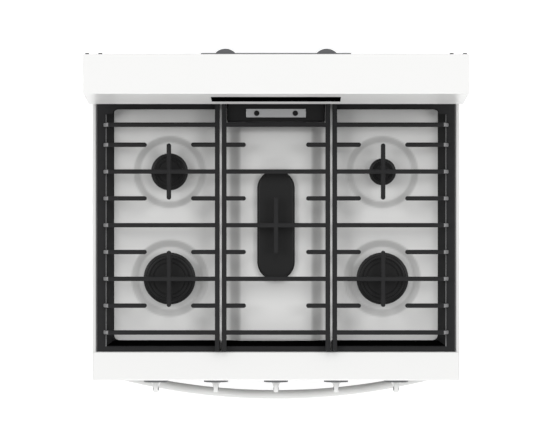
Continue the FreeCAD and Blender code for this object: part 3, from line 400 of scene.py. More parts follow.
def aluminised_steel():
    """Aluminised burner steel: pale grey, straw and blue where the flame has tempered it."""
    material, tree, place = new_material("aluminised_steel")
    heat = add(tree, "ShaderNodeTexNoise", {"Scale": 14.0, "Detail": 4.0}, {"Vector": place})
    ramp = add(tree, "ShaderNodeValToRGB", {}, {"Fac": heat.outputs[0]})
    ramp.color_ramp.elements[0].position = 0.35
    ramp.color_ramp.elements[0].color = linear("#A7A8A6")
    ramp.color_ramp.elements[1].position = 0.75
    ramp.color_ramp.elements[1].color = linear("#9C8A68")
    return surfaced(material, {"Metallic": 1.0, "Roughness": 0.45}, {"Base Color": ramp.outputs[0]})


dress(speckled_enamel(), "oven_liner", "door_liner")
dress(chromed_wire(), "rack_guides", "oven_rack_lower", "oven_rack_upper", "temperature_probe")
dress(mineral_wool(), "oven_insulation")
dress(glass_braid(), "door_gasket")
dress(frosted_lamp(), "oven_lamp")
dress(aluminised_steel(), "bake_burner", "broil_burner")


# ---- Storage drawer -------------------------------------------------------------------------------
# A folded white front is screwed to an open tub of galvanised sheet that runs on two glides. The front
# is powder coated like the cabinet and rounded where its edges were folded.

FACE_RADIUS = 0.003
FRONT_EDGES = ("x-", "x+", "y-", "z-", "z+")

dress(ZINC_SHEET, "drawer_tub")
front = build("drawer_front_folded", eased("drawer_front", FACE_RADIUS, FRONT_EDGES), POWDER_COAT)
mount(front, "storage_drawer", "white_paint", "drawer_front")


# ---- Oven door ------------------------------------------------------------------------------------
# The door's outer skin is folded white steel round a dark printed window; the inner panel is the same
# speckled porcelain as the oven, with a second pane in its plug.

DOOR_RADIUS = 0.0014
WINDOW_TINT = "#070708"
DOT_PITCH = 0.004


def tinted_window():
    """Dark printed oven glass: black from outside, with a faint print of dots nearly 2 mm across."""
    material, tree, place = new_material("tinted_oven_glass")
    dots = add(tree, "ShaderNodeTexVoronoi", {"Scale": 1 / DOT_PITCH, "Randomness": 0.0}, {"Vector": place})
    mask = add(tree, "ShaderNodeMapRange", {"From Min": 0.18, "From Max": 0.24, "To Min": 1.0, "To Max": 0.0},
               {"Value": dots.outputs["Distance"]})
    tone = add(tree, "ShaderNodeMix", {"data_type": "RGBA", 6: linear(WINDOW_TINT), 7: linear("#141416")},
               {0: mask.outputs[0]})
    return surfaced(material, {"Roughness": 0.08, "Specular IOR Level": 0.2}, {"Base Color": tone.outputs[2]})


skin = build("door_skin", eased("door_panel", DOOR_RADIUS, FRONT_EDGES), POWDER_COAT)
mount(skin, "oven_door", "white_paint", "door_panel")
dress(tinted_window(), "door_glass")


# ---- Door handle ----------------------------------------------------------------------------------
# One bowed bar across the whole door, forged flat at its ends where it meets the skin. Its section is
# a soft oval, deepest in the middle. Its white is painted greyer than the door's, and darker still
# towards the door, as painted shade from the control panel above it.

# The handle's whites are painted shade: greyer than the door's, and darker still towards the door.
HANDLE_WHITE = "#D4D4D3"
HANDLE_SHADE_GREY = "#8F8F8E"
HANDLE_PEEL = 0.002
HANDLE_STATIONS = 96
HANDLE_SIDES = 28
HANDLE_DEPTH = 0.0185
HANDLE_TIP = 0.0002
HANDLE_REACH = 0.998
SOFTNESS = 2.05
# How fast the painted shade darkens round the bar towards the door, and how far back from its middle it
# starts.
SHADE_FALLOFF = (1.1, 0.05)


def superoval(width, height, square, count):
    """Points round an oval of these half sizes, which grows squarer as square rises above 2."""
    points = []
    for side in range(count):
        across, up = math.cos(2 * math.pi * side / count), math.sin(2 * math.pi * side / count)
        points.append((width * math.copysign(abs(across) ** (2 / square), across),
                       height * math.copysign(abs(up) ** (2 / square), up)))
    return points


def lofted(shape, loops):
    """Join rings of points with equal counts one to the next, and close both ends."""
    for first, second in zip(loops, loops[1:]):
        for side in range(len(first)):
            after = (side + 1) % len(first)
            shape.faces.new((first[side], first[after], second[after], second[side]))
    shape.faces.new(loops[0])
    shape.faces.new(loops[-1])
    bmesh.ops.recalc_face_normals(shape, faces=shape.faces)
    return shape


def handle_bar():
    """Loft an oval section along the bow, between the bar's front and back curves."""
    low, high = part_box("door_handle")
    half, sag = (high.x - low.x) / 2, high.y - low.y
    bow = (half ** 2 + sag ** 2) / (2 * sag)
    middle_z, half_z = (low.z + high.z) / 2, (high.z - low.z) / 2
    shape = bmesh.new()
    rear_shade = shape.verts.layers.float.new("rear_shade")
    loops = []
    for station in range(HANDLE_STATIONS + 1):
        x = -half * math.cos(math.pi * station / HANDLE_STATIONS) * HANDLE_REACH
        front_y = low.y + bow - math.sqrt(bow ** 2 - x ** 2)
        back_y = min(low.y + bow - math.sqrt((bow - HANDLE_DEPTH) ** 2 - x ** 2), high.y)
        centre_y = (front_y + back_y) / 2
        half_y = max((back_y - front_y) / 2, HANDLE_TIP)
        loop = []
        for across, up in superoval(1.0, half_z, SOFTNESS, HANDLE_SIDES):
            vert = shape.verts.new((x, centre_y + half_y * across, middle_z + up))
            # How much painted shade this point takes, growing towards the door.
            vert[rear_shade] = min(max(across * SHADE_FALLOFF[0] - SHADE_FALLOFF[1], 0.0), 1.0)
            loop.append(vert)
        loops.append(loop)
    return lofted(shape, loops)


def handle_shaded_coat():
    """Epoxy coat on the bar, painted greyer than the door's and darker towards the door as shade from the
    control panel.
    """
    material, tree, place = new_material("handle_white_painted_shade")
    peel = add(tree, "ShaderNodeTexNoise", {"Scale": 1 / HANDLE_PEEL}, {"Vector": place})
    relief = add(tree, "ShaderNodeBump", {"Strength": 0.1, "Distance": 0.0001}, {"Height": peel.outputs[0]})
    rear_shade = add(tree, "ShaderNodeAttribute", {"attribute_name": "rear_shade"})
    tone = add(tree, "ShaderNodeMix", {"data_type": "RGBA", 6: linear(HANDLE_WHITE), 7: linear(HANDLE_SHADE_GREY)},
               {0: rear_shade.outputs["Fac"]})
    return surfaced(material, {"Roughness": 0.42},
                    {"Base Color": tone.outputs[2], "Normal": relief.outputs[0]})


mount(build("door_handle_bar", handle_bar(), handle_shaded_coat()), "oven_door", "white_paint", "door_handle")


# ---- Control panel, bezels and knobs --------------------------------------------------------------
# A folded white fascia with a flat top. Five grey bezels are clipped into it, and a moulded white knob
# with a tall grip and dark finger pads pushes onto each valve stem.

BEZEL_GREY = "#6C6D6F"
BEZEL_RADIUS = 0.0006
KNOB = "#E6E6E5"
KNOB_SIDES = 48
KNOBS = range(1, 6)
# The pointer's and the pads' sizes, and how far each stands from the knob's centre or tip, in metres.
POINTER = (0.0016, 0.0006, 0.0105)
POINTER_UP = 0.0105
POINTER_RADIUS = 0.00015
POINTER_SUNK = 0.0001
PAD_HEIGHT = 0.0145
PAD_DEPTH = 0.0046
PAD_THICK = 0.0008
PAD_OUT = 0.0052
PAD_BACK = 0.0072
# Depth from the back of the knob, half width, half height and squareness of each section, in metres.
KNOB_SECTIONS = ((0.0, 0.0168, 0.0168, 2.0), (0.0006, 0.0179, 0.0179, 2.0), (0.0014, 0.0178, 0.0179, 2.0),
                 (0.0019, 0.0150, 0.0174, 2.1), (0.0026, 0.0112, 0.0170, 2.3), (0.0042, 0.0093, 0.0170, 2.5),
                 (0.0062, 0.0076, 0.0172, 2.8), (0.0086, 0.0063, 0.0176, 3.2), (0.0118, 0.0055, 0.0182, 3.8),
                 (0.0160, 0.0052, 0.0186, 4.4), (0.0210, 0.0051, 0.0187, 4.8), (0.0224, 0.0046, 0.0182, 4.8),
                 (0.0230, 0.0036, 0.0170, 4.6))


def knob_moulding():
    """Gloss white ABS knob: a moulded sheen with very slight sink marks."""
    return grained("knob_abs_white", {"Base Color": linear(KNOB), "Roughness": 0.3, "IOR": 1.53,
                                      "Coat Weight": 0.15},
                   size=0.00833, strength=0.08, depth=0.0002)


def dull(name, colour, size, roughness):
    """A dull surface with a grain of the given size, as on eroded moulds, printed ink or the painted shade of
    flame ports.
    """
    return grained(name, {"Base Color": linear(colour), "Roughness": roughness},
                   size=size, detail=4.0, strength=0.3, depth=0.0002)


def knob_grip(centre, back):
    """Loft the knob forwards from its back face, from a round base to a tall narrow grip."""
    shape = bmesh.new()
    loops = []
    for depth, width, height, square in KNOB_SECTIONS:
        loops.append([shape.verts.new((centre.x + x, back - depth, centre.z + z))
                      for x, z in superoval(width, height, square, KNOB_SIDES)])
    return lofted(shape, loops)


def pointer_bar(centre, tip):
    """The dark pointer let into the upper end of the grip's front face."""
    shape = bmesh.new()
    place = Vector((centre.x, tip + POINTER_SUNK, centre.z + POINTER_UP))
    bmesh.ops.create_cube(shape, size=1.0, matrix=Matrix.LocRotScale(place, None, Vector(POINTER)))
    bmesh.ops.bevel(shape, geom=shape.edges, offset=POINTER_RADIUS, segments=2, affect="EDGES")
    return shape


def grip_inlays(centre, tip):
    """Dark finger pads let into both cheeks of the grip, near its end."""
    shape = bmesh.new()
    turn = Matrix.Rotation(math.pi / 2, 4, "Y")
    size = Matrix.Diagonal((PAD_HEIGHT, PAD_DEPTH, 1.0, 1.0))
    for cheek in (-1, 1):
        place = Matrix.Translation((centre.x + cheek * PAD_OUT, tip + PAD_BACK, centre.z))
        bmesh.ops.create_cone(shape, cap_ends=True, segments=40, radius1=1.0, radius2=1.0,
                              depth=PAD_THICK, matrix=place @ turn @ size)
    bmesh.ops.recalc_face_normals(shape, faces=shape.faces)
    return shape


panel = build("control_panel_folded", eased("control_panel", FACE_RADIUS, FRONT_EDGES), POWDER_COAT)
mount(panel, "range", "white_paint", "control_panel")

BEZEL_PLASTIC = dull("bezel_plastic", BEZEL_GREY, 0.0006, 0.45)
bezels = build("knob_bezel_rings", eased("knob_bezels", BEZEL_RADIUS, ("y-",)), BEZEL_PLASTIC)
mount(bezels, "range", "bezel_plastic", "knob_bezels")

KNOB_PLASTIC = knob_moulding()
POINTER_INK = dull("pointer_ink", "#4A4B4D", 0.0008, 0.5)
for number in KNOBS:
    low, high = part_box("knob_%d" % number)
    middle = (low + high) / 2
    grip = build("knob_grip_%d" % number, knob_grip(middle, high.y), KNOB_PLASTIC)
    mount(grip, "knob_%d" % number, "knob_plastic", "knob_%d" % number)
    bar = build("knob_pointer_%d" % number, pointer_bar(middle, low.y), POINTER_INK)
    mount(bar, "knob_%d" % number, "bezel_plastic")
    pads = build("knob_pads_%d" % number, grip_inlays(middle, low.y), POINTER_INK)
    mount(pads, "knob_%d" % number, "bezel_plastic")
dress(TURNED_STEEL, *["valve_stem_%d" % number for number in KNOBS])


# ---- Cooktop tray ---------------------------------------------------------------------------------
# One sheet of steel, deep drawn and coated with white porcelain enamel. The floor sinks into a shallow
# round dish under each corner burner, and its middle is raised between two long slopes.

# Painted shade: the tray white is a little greyer than the cabinet's, as shade under the grates, and the band
# grey darker still on the slopes round the dishes and along the middle.
TRAY_WHITE = "#DCDCDB"
BAND_SHADE_GREY = "#BBBBBA"
TRAY_STEP = 0.0034
TRAY_SHEET = 0.0012
FLOOR_GAP = 0.0003
# The outer and inner radius of the sloping band round a dish.
DISHES = {"front": (0.0825, 0.063), "rear": (0.0775, 0.059)}
DISH_DROP = 0.0044
# The long slopes lie between these distances from the middle, and fade out near their ends.
RIDGE_IN = 0.072
RIDGE_OUT = 0.098
RIDGE_RISE = 0.0050
RIDGE_START = 0.014
RIDGE_END = 0.222
RIDGE_FADE = (0.012, 0.02)
BAND_EDGE = 0.005
RIM_SIDE = 0.0077
RIM_END = 0.0015
RIM_RISE = 0.0075
RIM_ROUND = 0.0028
RIM_CREST = 0.74
HEM = 0.0015
WALL_FOOT = 0.004
ENAMEL_FLOW = 0.018


def porcelain_white():
    """White porcelain enamel, fired until it flowed, a little greyer than the cabinet's and greyer still over
    the sloping bands: painted shade.
    """
    material, tree, place = new_material("porcelain_enamel_white")
    flow = add(tree, "ShaderNodeTexNoise", {"Scale": 1 / ENAMEL_FLOW}, {"Vector": place})
    relief = add(tree, "ShaderNodeBump", {"Strength": 0.10, "Distance": 0.0006}, {"Height": flow.outputs[0]})
    band_shade = add(tree, "ShaderNodeAttribute", {"attribute_name": "band_shade"})
    tone = add(tree, "ShaderNodeMix", {"data_type": "RGBA", 6: linear(TRAY_WHITE), 7: linear(BAND_SHADE_GREY)},
               {0: band_shade.outputs["Fac"]})
    return surfaced(material, {"Roughness": 0.36},
                    {"Base Color": tone.outputs[2], "Normal": relief.outputs[0]})


def ease(value):
    """A smooth step from 0 to 1."""
    value = min(max(value, 0.0), 1.0)
    return value * value * (3 - 2 * value)


def tray_floor(x, y, start, centres):
    """How far the pressed floor stands above its level part at one point, and how much painted shade it takes
    there.
    """
    within = ease((y - start) / RIDGE_FADE[0]) * ease((RIDGE_END - y) / RIDGE_FADE[1])
    height = RIDGE_RISE * ease((RIDGE_OUT - abs(x)) / (RIDGE_OUT - RIDGE_IN)) * within
    # The sloping bands round the dishes and along the middle take painted shade, faded at their edges.
    band_shade = within * ease((RIDGE_OUT - abs(x)) / BAND_EDGE) * ease((abs(x) - RIDGE_IN) / BAND_EDGE)
    for (centre_x, centre_y), outer, inner in centres:
        reach = math.hypot(x - centre_x, y - centre_y)
        height -= DISH_DROP * ease((outer - reach) / (outer - inner))
        band_shade = max(band_shade, ease((outer - reach) / BAND_EDGE) * ease((reach - inner) / BAND_EDGE))
    return height, band_shade


def pressed_tray():
    """A grid for the floor, carried up the walls and over the rims; the sheet's thickness comes after."""
    low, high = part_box("cooktop")
    floor_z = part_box("grate_left")[0].z - FLOOR_GAP
    wall_x = high.x - RIM_SIDE
    front, back = low.y + RIM_END, high.y - RIM_END
    centres = []
    for place in CORNERS:
        cap_low, cap_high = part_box("burner_cap_" + place)
        centres.append((((cap_low.x + cap_high.x) / 2, (cap_low.y + cap_high.y) / 2),
                        *DISHES[place.split("_")[1]]))
    columns, rows = int(2 * wall_x / TRAY_STEP), int((back - front) / TRAY_STEP)
    shape = bmesh.new()
    band_shade_layer = shape.verts.layers.float.new("band_shade")
    grid = []
    for row in range(rows + 1):
        y = front + (back - front) * row / rows
        line = []
        for column in range(columns + 1):
            x = -wall_x + 2 * wall_x * column / columns
            rise, band_shade = tray_floor(x, y, front + RIDGE_START, centres)
            vert = shape.verts.new((x, y, floor_z + rise))
            # Keep the painted shade of this point for the enamel.
            vert[band_shade_layer] = band_shade
            line.append(vert)
        grid.append(line)
    for near, far in zip(grid, grid[1:]):
        for column in range(columns):
            shape.faces.new((near[column], near[column + 1], far[column + 1], far[column]))
    # Once round the floor's edge: each point with the way out from it, left or right and front or back.
    edge = [(0, column) for column in range(columns)] + [(row, columns) for row in range(rows)]
    edge += [(rows, column) for column in range(columns, 0, -1)] + [(row, 0) for row in range(rows, 0, -1)]
    border = [(grid[row][column], (column == columns) - (column == 0), (row == rows) - (row == 0))
              for row, column in edge]
    rings = [(0.0, floor_z + WALL_FOOT), (0.0, high.z - RIM_RISE)]
    for step in range(1, 9):
        turn = math.pi / 2 * step / 8
        rings.append((RIM_CREST * (1 - math.cos(turn)), high.z - RIM_RISE + RIM_RISE * math.sin(turn)))
    for step in range(1, 5):
        turn = math.pi / 2 * step / 4
        rings.append((RIM_CREST + (1 - RIM_CREST) * math.sin(turn),
                      high.z - RIM_ROUND + RIM_ROUND * math.cos(turn)))
    rings.append((1.0, low.z + HEM))
    previous = [vert for vert, _, _ in border]
    for out, z in rings:
        ring = [shape.verts.new((vert.co.x + aside * out * RIM_SIDE, vert.co.y + ahead * out * RIM_END, z))
                for vert, aside, ahead in border]
        for index in range(len(ring)):
            after = (index + 1) % len(ring)
            shape.faces.new((previous[after], previous[index], ring[index], ring[after]))
        previous = ring
    return shape


tray = build("cooktop_tray", pressed_tray(), porcelain_white())
thickness = tray.modifiers.new("sheet", "SOLIDIFY")
thickness.thickness = TRAY_SHEET
thickness.offset = -1.0
solid = bpy.data.meshes.new_from_object(tray.evaluated_get(bpy.context.evaluated_depsgraph_get()))
tray.modifiers.clear()
tray.data = solid
mount(tray, "range", "white_enamel", "cooktop")


# ---- Burners --------------------------------------------------------------------------------------
# Five die-cast aluminium heads, each with a ring of flame ports and a ceramic spark electrode beside
# it. A loose cap of pressed steel in matt black enamel covers each head.

CAP_GRAIN = 0.0012
PORT_PITCH = 0.0082
PORT_INSET = 0.005
PORT_DROP = 0.0055
PORT_SLOT = (0.0012, 0.0018, 0.007)
PORT_ARC = 16
# The round caps' two grooves lie inside these shares of the radius.
GROOVES = (0.79, 0.64)
OVAL_SIDES = 80


def cap_enamel():
    """Matt black cap enamel: fine dry grain about 1 mm across, a little paler where it is worn."""
    return grained("cap_enamel_black", {"Roughness": 0.45, "Specular IOR Level": 0.3}, size=CAP_GRAIN,
                   detail=3.0, strength=0.25, depth=0.0003, tones=("#040404", "#0C0C0D"))


def spark_ceramic():
    """Glazed alumina: clean white with a faint bloom."""
    return grained("spark_ceramic", {"Base Color": linear("#E9E6DE"), "Roughness": 0.3, "IOR": 1.6},
                   size=0.00143, strength=0.1, depth=0.0001)


def spun(profile, centre, count=72):
    """Spin radii and heights round an upright axis into a closed solid."""
    shape = bmesh.new()
    loops = []
    for radius, height in profile:
        if radius < 0.00001:
            loops.append([shape.verts.new((centre.x, centre.y, height))])
            continue
        loops.append([shape.verts.new((centre.x + radius * math.cos(2 * math.pi * turn / count),
                                       centre.y + radius * math.sin(2 * math.pi * turn / count), height))
                      for turn in range(count)])
    for first, second in zip(loops, loops[1:]):
        for turn in range(count):
            after = (turn + 1) % count
            if len(first) == 1:
                shape.faces.new((first[0], second[turn], second[after]))
            elif len(second) == 1:
                shape.faces.new((first[turn], second[0], first[after]))
            else:
                shape.faces.new((first[turn], second[turn], second[after], first[after]))
    bmesh.ops.recalc_face_normals(shape, faces=shape.faces)
    return shape


def round_cap_profile(radius, low, top):
    """A dished cap: rolled rim, raised crown, two grooves and a slightly sunk middle."""
    outer, inner = radius * GROOVES[0], radius * GROOVES[1]
    return [(0.0, low), (radius - 0.003, low), (radius - 0.0006, low + 0.0006), (radius, low + 0.0022),
            (radius - 0.0006, low + 0.0038), (radius - 0.0022, low + 0.0046), (radius - 0.0046, low + 0.0046),
            (radius - 0.0054, low + 0.0050), (radius - 0.0058, top - 0.0012), (radius - 0.0066, top - 0.0004),
            (radius - 0.0080, top), (outer, top), (outer - 0.0004, top - 0.0026),
            (outer - 0.0026, top - 0.0026), (outer - 0.0030, top - 0.0002), (inner, top - 0.0002),
            (inner - 0.0006, top - 0.0016), (inner - 0.0020, top - 0.0016), (inner - 0.0026, top - 0.0010),
            (0.0, top - 0.0010)]


def oval_cap(low, high):
    """The centre cap: the same pressed rim, carried round a long oval."""
    half_x = (high.x - low.x) / 2
    straight = (high.y - low.y) / 2 - half_x
    centre_y = (low.y + high.y) / 2
    sections = [(0.0020, low.z), (0.0003, low.z + 0.0008), (0.0, low.z + 0.0020), (0.0003, low.z + 0.0034),
                (0.0014, low.z + 0.0044), (0.0030, low.z + 0.0050), (0.0034, high.z - 0.0012),
                (0.0042, high.z - 0.0003), (0.0054, high.z)]
    shape = bmesh.new()
    loops = []
    for inset, z in sections:
        reach = half_x - inset
        loop = []
        for turn in range(OVAL_SIDES):
            angle = 2 * math.pi * (turn + 0.5) / OVAL_SIDES
            y = centre_y + math.copysign(straight, math.sin(angle)) + reach * math.sin(angle)
            loop.append(shape.verts.new((reach * math.cos(angle), y, z)))
        loops.append(loop)
    return lofted(shape, loops)


def port_ring_tree():
    """Geometry nodes: upright slots spaced evenly round a burner head, which may be round or a long oval."""
    tree = bpy.data.node_groups.new("port_ring", "GeometryNodeTree")
    for name, kind in (("Count", "Int"), ("Width", "Float"), ("Length", "Float"), ("Corner", "Float"),
                       ("Size", "Vector"), ("Centre", "Vector"), ("Material", "Material")):
        tree.interface.new_socket(name=name, in_out="INPUT", socket_type="NodeSocket" + kind)
    tree.interface.new_socket(name="Geometry", in_out="OUTPUT", socket_type="NodeSocketGeometry")
    given = add(tree, "NodeGroupInput")
    outline = add(tree, "GeometryNodeCurvePrimitiveQuadrilateral", {}, {"Width": given.outputs["Width"],
                                                                        "Height": given.outputs["Length"]})
    wall = add(tree, "GeometryNodeFilletCurve", {"mode": "POLY", "Count": PORT_ARC, "Limit Radius": True},
               {"Curve": outline.outputs[0], "Radius": given.outputs["Corner"]})
    spots = add(tree, "GeometryNodeCurveToPoints", {}, {"Curve": wall.outputs[0],
                                                        "Count": given.outputs["Count"]})
    facing = add(tree, "FunctionNodeAlignRotationToVector", {"axis": "Y"},
                 {"Vector": spots.outputs["Tangent"]})
    slot = add(tree, "GeometryNodeMeshCube", {}, {"Size": given.outputs["Size"]})
    copies = add(tree, "GeometryNodeInstanceOnPoints", {},
                 {"Points": spots.outputs[0], "Instance": slot.outputs[0], "Rotation": facing.outputs[0]})
    moved = add(tree, "GeometryNodeTransform", {}, {"Geometry": copies.outputs[0],
                                                    "Translation": given.outputs["Centre"]})
    real = add(tree, "GeometryNodeRealizeInstances", {}, {"Geometry": moved.outputs[0]})
    painted = add(tree, "GeometryNodeSetMaterial", {}, {"Geometry": real.outputs[0],
                                                        "Material": given.outputs["Material"]})
    add(tree, "NodeGroupOutput", {}, {"Geometry": painted.outputs[0]})
    return tree


def grown(name, tree, values):
    """Run a geometry node tree with the given inputs and keep the result as a plain mesh."""
    holder = bpy.data.objects.new(name, bpy.data.meshes.new(name))
    bpy.context.scene.collection.objects.link(holder)
    modifier = holder.modifiers.new("grow", "NODES")
    modifier.node_group = tree
    for item in tree.interface.items_tree:
        if item.item_type == "SOCKET" and item.in_out == "INPUT" and item.name in values:
            modifier[item.identifier] = values[item.name]
    result = bpy.data.meshes.new_from_object(holder.evaluated_get(bpy.context.evaluated_depsgraph_get()))
    holder.modifiers.clear()
    holder.data = result
    return holder


CAP_ENAMEL = cap_enamel()
PORT_RING = port_ring_tree()
# The flame port slots are near-black boxes: painted shade inside the openings.
PORT_DARK = dull("flame_port_painted_shade", "#101010", 0.001, 0.9)
BURNERS = CORNERS + ("centre",)
for place in BURNERS:
    low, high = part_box("burner_cap_" + place)
    middle = (low + high) / 2
    width, length = high.x - low.x - 2 * PORT_INSET, high.y - low.y - 2 * PORT_INSET
    ports = grown("flame_ports_" + place, PORT_RING, {
        "Count": round((math.pi * width + 2 * (length - width)) / PORT_PITCH), "Width": width,
        "Length": length, "Corner": width / 2, "Size": PORT_SLOT, "Material": PORT_DARK,
        "Centre": (middle.x, middle.y, low.z - PORT_DROP)})
    mount(ports, "range", "black_enamel")
for place in BURNERS:
    low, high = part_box("burner_cap_" + place)
    if place == "centre":
        crown = oval_cap(low, high)
    else:
        crown = spun(round_cap_profile((high.x - low.x) / 2, low.z, high.z), (low + high) / 2)
    mount(build("cap_" + place, crown, CAP_ENAMEL), "burner_cap_" + place, "black_enamel",
          "burner_cap_" + place)
dress(CAST_SKIN, "burner_heads")
dress(spark_ceramic(), "spark_electrodes")


# ---- Grates ---------------------------------------------------------------------------------------
# Three cast iron grates in matt black enamel. Sand casting leaves their upper edges round and the
# surface finely pitted; the finger tips are round and the bars run down into wide hollow rails.

IRON = "#161617"
IRON_PALE = "#202021"
IRON_PIT = 0.0014
# Grain of the painted highlight on the bar ends.
HIGHLIGHT_GRAIN = 0.00455
CAST_RADIUS = {"left": 0.0024, "centre": 0.0012, "right": 0.0024}
# Where bars and rails meet, from a grate's front edge or, at the sides, from the middle of the range.
ROW_START = 0.0681
ROW_PITCH = 0.05536
ROWS = 7
RAIL_ENDS = (0.0263, 0.4486, 0.4863)
RAIL_SIDE = 0.33
# How far the flat ledges near the tray lie below the top, at most and at least.
LEDGE = (0.031, 0.0225)
TOP_BAND = 0.002
FRONT_RAIL = 0.024
BAR_DEPTH = 0.026
SLOPE_SIDE = 0.34
SLIVER = 0.0002
# How squarely a face must look rearwards or sideways, and how much a bar's end must look upwards.
FACING = 0.6
LEANING = 0.25
# The places of the second and third finish among a grate's materials; the second is painted shade.
# The third finish is a painted highlight on the bar ends.
SHADED_FLANK, LIT_ENDS = 1, 2


def cast_iron():
    """Enamelled cast iron: near-black and matt, with pits and low lumps about 1 to 2 mm across."""
    material, tree, place = new_material("enamelled_cast_iron")
    pits = add(tree, "ShaderNodeTexNoise", {"Scale": 1 / IRON_PIT, "Detail": 4.0}, {"Vector": place})
    mottle = add(tree, "ShaderNodeTexNoise", {"Scale": 45.0, "Detail": 3.0}, {"Vector": place})
    tone = add(tree, "ShaderNodeMix", {"data_type": "RGBA", 6: linear(IRON), 7: linear(IRON_PALE)},
               {0: mottle.outputs[0]})
    relief = add(tree, "ShaderNodeBump", {"Strength": 0.35, "Distance": 0.0004}, {"Height": pits.outputs[0]})
    return surfaced(material, {"Roughness": 0.75, "Specular IOR Level": 0.3},
                    {"Base Color": tone.outputs[2], "Normal": relief.outputs[0]})


def shaded_flank_iron():
    """The same enamel on the front rail's inner flank, painted a deep, dull black as the shade that falls
    there.
    """
    return grained("cast_iron_painted_shade", {"Roughness": 1.0, "Specular IOR Level": 0.0}, size=IRON_PIT,
                   detail=4.0, strength=0.2, depth=0.0003, tones=("#030303", "#0A0A0A"))


def lit_end_iron():
    """Bar ends that face the sides, painted greyer and smoother as a highlight from the side lamps."""
    return grained("cast_iron_painted_highlight", {"Roughness": 0.38}, size=HIGHLIGHT_GRAIN, detail=4.0, strength=0.2,
                   depth=0.0003, tones=("#6A6A6B", "#A2A2A3"))


def cast(node, radius):
    """A piece's solid, cut where bars and rails meet, with its upper edges rounded as if cast in sand."""
    copy = merged(node)
    low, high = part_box(node)
    seams = [(1, low.y + end) for end in RAIL_ENDS] + [(0, -RAIL_SIDE), (0, RAIL_SIDE)]
    seams += [(1, low.y + ROW_START + ROW_PITCH * row) for row in range(ROWS)]
    for axis, place in seams:
        across = Vector((axis == 0, axis == 1, 0))
        bmesh.ops.bisect_plane(copy, geom=copy.verts[:] + copy.edges[:] + copy.faces[:], dist=0.00001,
                               plane_co=across * place, plane_no=across)
    bmesh.ops.remove_doubles(copy, verts=copy.verts, dist=SLIVER)
    bmesh.ops.dissolve_degenerate(copy, edges=copy.edges, dist=SLIVER)
    copy.normal_update()

    def on_show(edge):
        """Whether an edge is sharp, stands out, and belongs to the top or to a flat ledge near the tray."""
        if len(edge.link_faces) != 2 or not edge.is_convex or edge.calc_face_angle() < math.radians(30):
            return False
        heights = [vert.co.z for vert in edge.verts]
        flat = any(abs(face.normal.z) > 0.9 for face in edge.link_faces)
        on_ledge = high.z - LEDGE[0] < min(heights) < high.z - LEDGE[1]
        return max(heights) > high.z - TOP_BAND or (on_ledge and flat)

    bmesh.ops.bevel(copy, geom=[edge for edge in copy.edges if on_show(edge)], offset=radius,
                    offset_type="OFFSET", segments=2, profile=0.5, affect="EDGES", clamp_overlap=False)
    bmesh.ops.recalc_face_normals(copy, faces=copy.faces)
    return copy


FINISHES = (cast_iron(), shaded_flank_iron(), lit_end_iron())
for place in ("left", "centre", "right"):
    shape = cast("grate_" + place, CAST_RADIUS[place])
    low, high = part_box("grate_" + place)
    for face in shape.faces:
        middle = face.calc_center_median()
        lower = middle.z < high.z - BAR_DEPTH
        # The front rail's inner flank takes painted shade.
        if lower and face.normal.y > FACING and middle.y < low.y + FRONT_RAIL:
            face.material_index = SHADED_FLANK
        # Bar ends that face the sides take a painted highlight.
        elif not lower and abs(face.normal.x) > FACING and face.normal.z > LEANING and (
                abs(middle.x) > SLOPE_SIDE):
            face.material_index = LIT_ENDS
    grate = build("cast_grate_" + place, shape, FINISHES[0])
    for finish in FINISHES[1:]:
        grate.data.materials.append(finish)
    mount(grate, "grate_" + place, "cast_iron", "grate_" + place)


# ---- Oven vent ------------------------------------------------------------------------------------
# Oven air leaves through a black enamelled housing at the back of the tray. A brushed steel deflector
# is screwed on top of it with two black screws.

BRUSH = 0.0005
HOUSING_RADIUS = 0.0025
PLATE_RADIUS = 0.0008


def brushed_steel():
    """Brushed stainless steel: fine lines from side to side about half a millimetre apart."""
    material, tree, place = new_material("brushed_stainless")
    stretch = add(tree, "ShaderNodeMapping", {"Scale": (0.02, 1.0, 1.0)}, {"Vector": place})
    lines = add(tree, "ShaderNodeTexNoise", {"Scale": 1 / BRUSH, "Detail": 3.0},
                {"Vector": stretch.outputs[0]})
    relief = add(tree, "ShaderNodeBump", {"Strength": 0.2, "Distance": 0.0001}, {"Height": lines.outputs[0]})
    return surfaced(material, {"Base Color": linear("#BEBFC0"), "Metallic": 1.0, "Roughness": 0.36},
                    {"Normal": relief.outputs[0]})


housing = build("vent_housing", eased("vent_trim", HOUSING_RADIUS, ("x-", "x+", "y-", "z+")), CAP_ENAMEL)
mount(housing, "range", "black_enamel", "vent_trim")
deflector = eased("vent_deflector", PLATE_RADIUS, ("x-", "x+", "y-", "y+", "z+"))
plate = build("vent_plate", deflector, brushed_steel())
mount(plate, "range", "brushed_steel", "vent_deflector")


# ---- Backguard and display ------------------------------------------------------------------------
# The backguard is a folded white housing. Its face leans forward towards the cook and holds a long
# black glass display; a dark moulded cover with two wiring humps closes the back.

GUARD_RADIUS = 0.0013
LONG_EDGE = 0.7
GLASS_BLACK = "#010101"
TRACKS = 0.0075


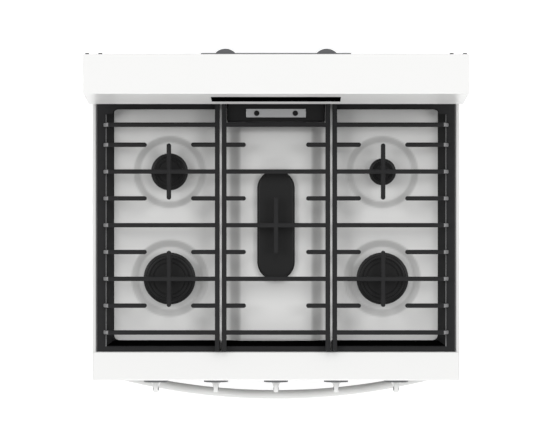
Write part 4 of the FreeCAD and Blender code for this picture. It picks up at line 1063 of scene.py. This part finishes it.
def display_glass():
    """Back-printed black glass under an anti-glare film: a deep, even black."""
    material, tree, place = new_material("display_glass_black")
    smear = add(tree, "ShaderNodeTexNoise", {"Scale": 25.0, "Detail": 5.0}, {"Vector": place})
    gloss = add(tree, "ShaderNodeMapRange", {"To Min": 0.10, "To Max": 0.16}, {"Value": smear.outputs[0]})
    return surfaced(material, {"Base Color": linear(GLASS_BLACK), "Specular IOR Level": 0.0},
                    {"Roughness": gloss.outputs[0]})


def circuit_board():
    """Green circuit board: a solder mask with a faint grid of tracks 2 to 4 mm apart."""
    material, tree, place = new_material("circuit_board")
    tracks = add(tree, "ShaderNodeTexBrick", {"Scale": 1 / TRACKS, "Color1": linear("#1D5A34"),
                                              "Color2": linear("#236A3E"), "Mortar": linear("#12401F")},
                 {"Vector": place})
    return surfaced(material, {"Roughness": 0.4}, {"Base Color": tracks.outputs[0]})


guard = merged("backguard")
low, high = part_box("backguard")
folds = []
for edge in guard.edges:
    at_end = all(abs(abs(vert.co.x) - high.x) < 0.0001 for vert in edge.verts)
    if edge.is_convex and edge.calc_face_angle(0.0) > math.radians(20) and (
            at_end or edge.calc_length() > LONG_EDGE):
        folds.append(edge)
bmesh.ops.bevel(guard, geom=folds, offset=GUARD_RADIUS, offset_type="OFFSET", segments=3, profile=0.5,
                affect="EDGES", clamp_overlap=False)
mount(build("backguard_housing", guard, POWDER_COAT), "range", "white_paint", "backguard")
dress(display_glass(), "display_glass")
dress(circuit_board(), "display_board")
dress(dull("cover_plastic", "#5A5B5D", 0.0012, 0.6), "rear_cover")


# ---- Screws ---------------------------------------------------------------------------------------
# Pan-head screws hold the backguard's ends and the vent plate. They are steel with a black oxide
# finish, driven in until their heads sit flat.

OIL_FILM = 0.00111


def black_oxide():
    """Black oxide on steel: dark satin with a thin oil film."""
    return grained("black_oxide_steel", {"Base Color": linear("#161617"), "Metallic": 0.6,
                                         "Roughness": 0.38},
                   size=OIL_FILM, strength=0.15, depth=0.0001)


dress(black_oxide(), "screws")
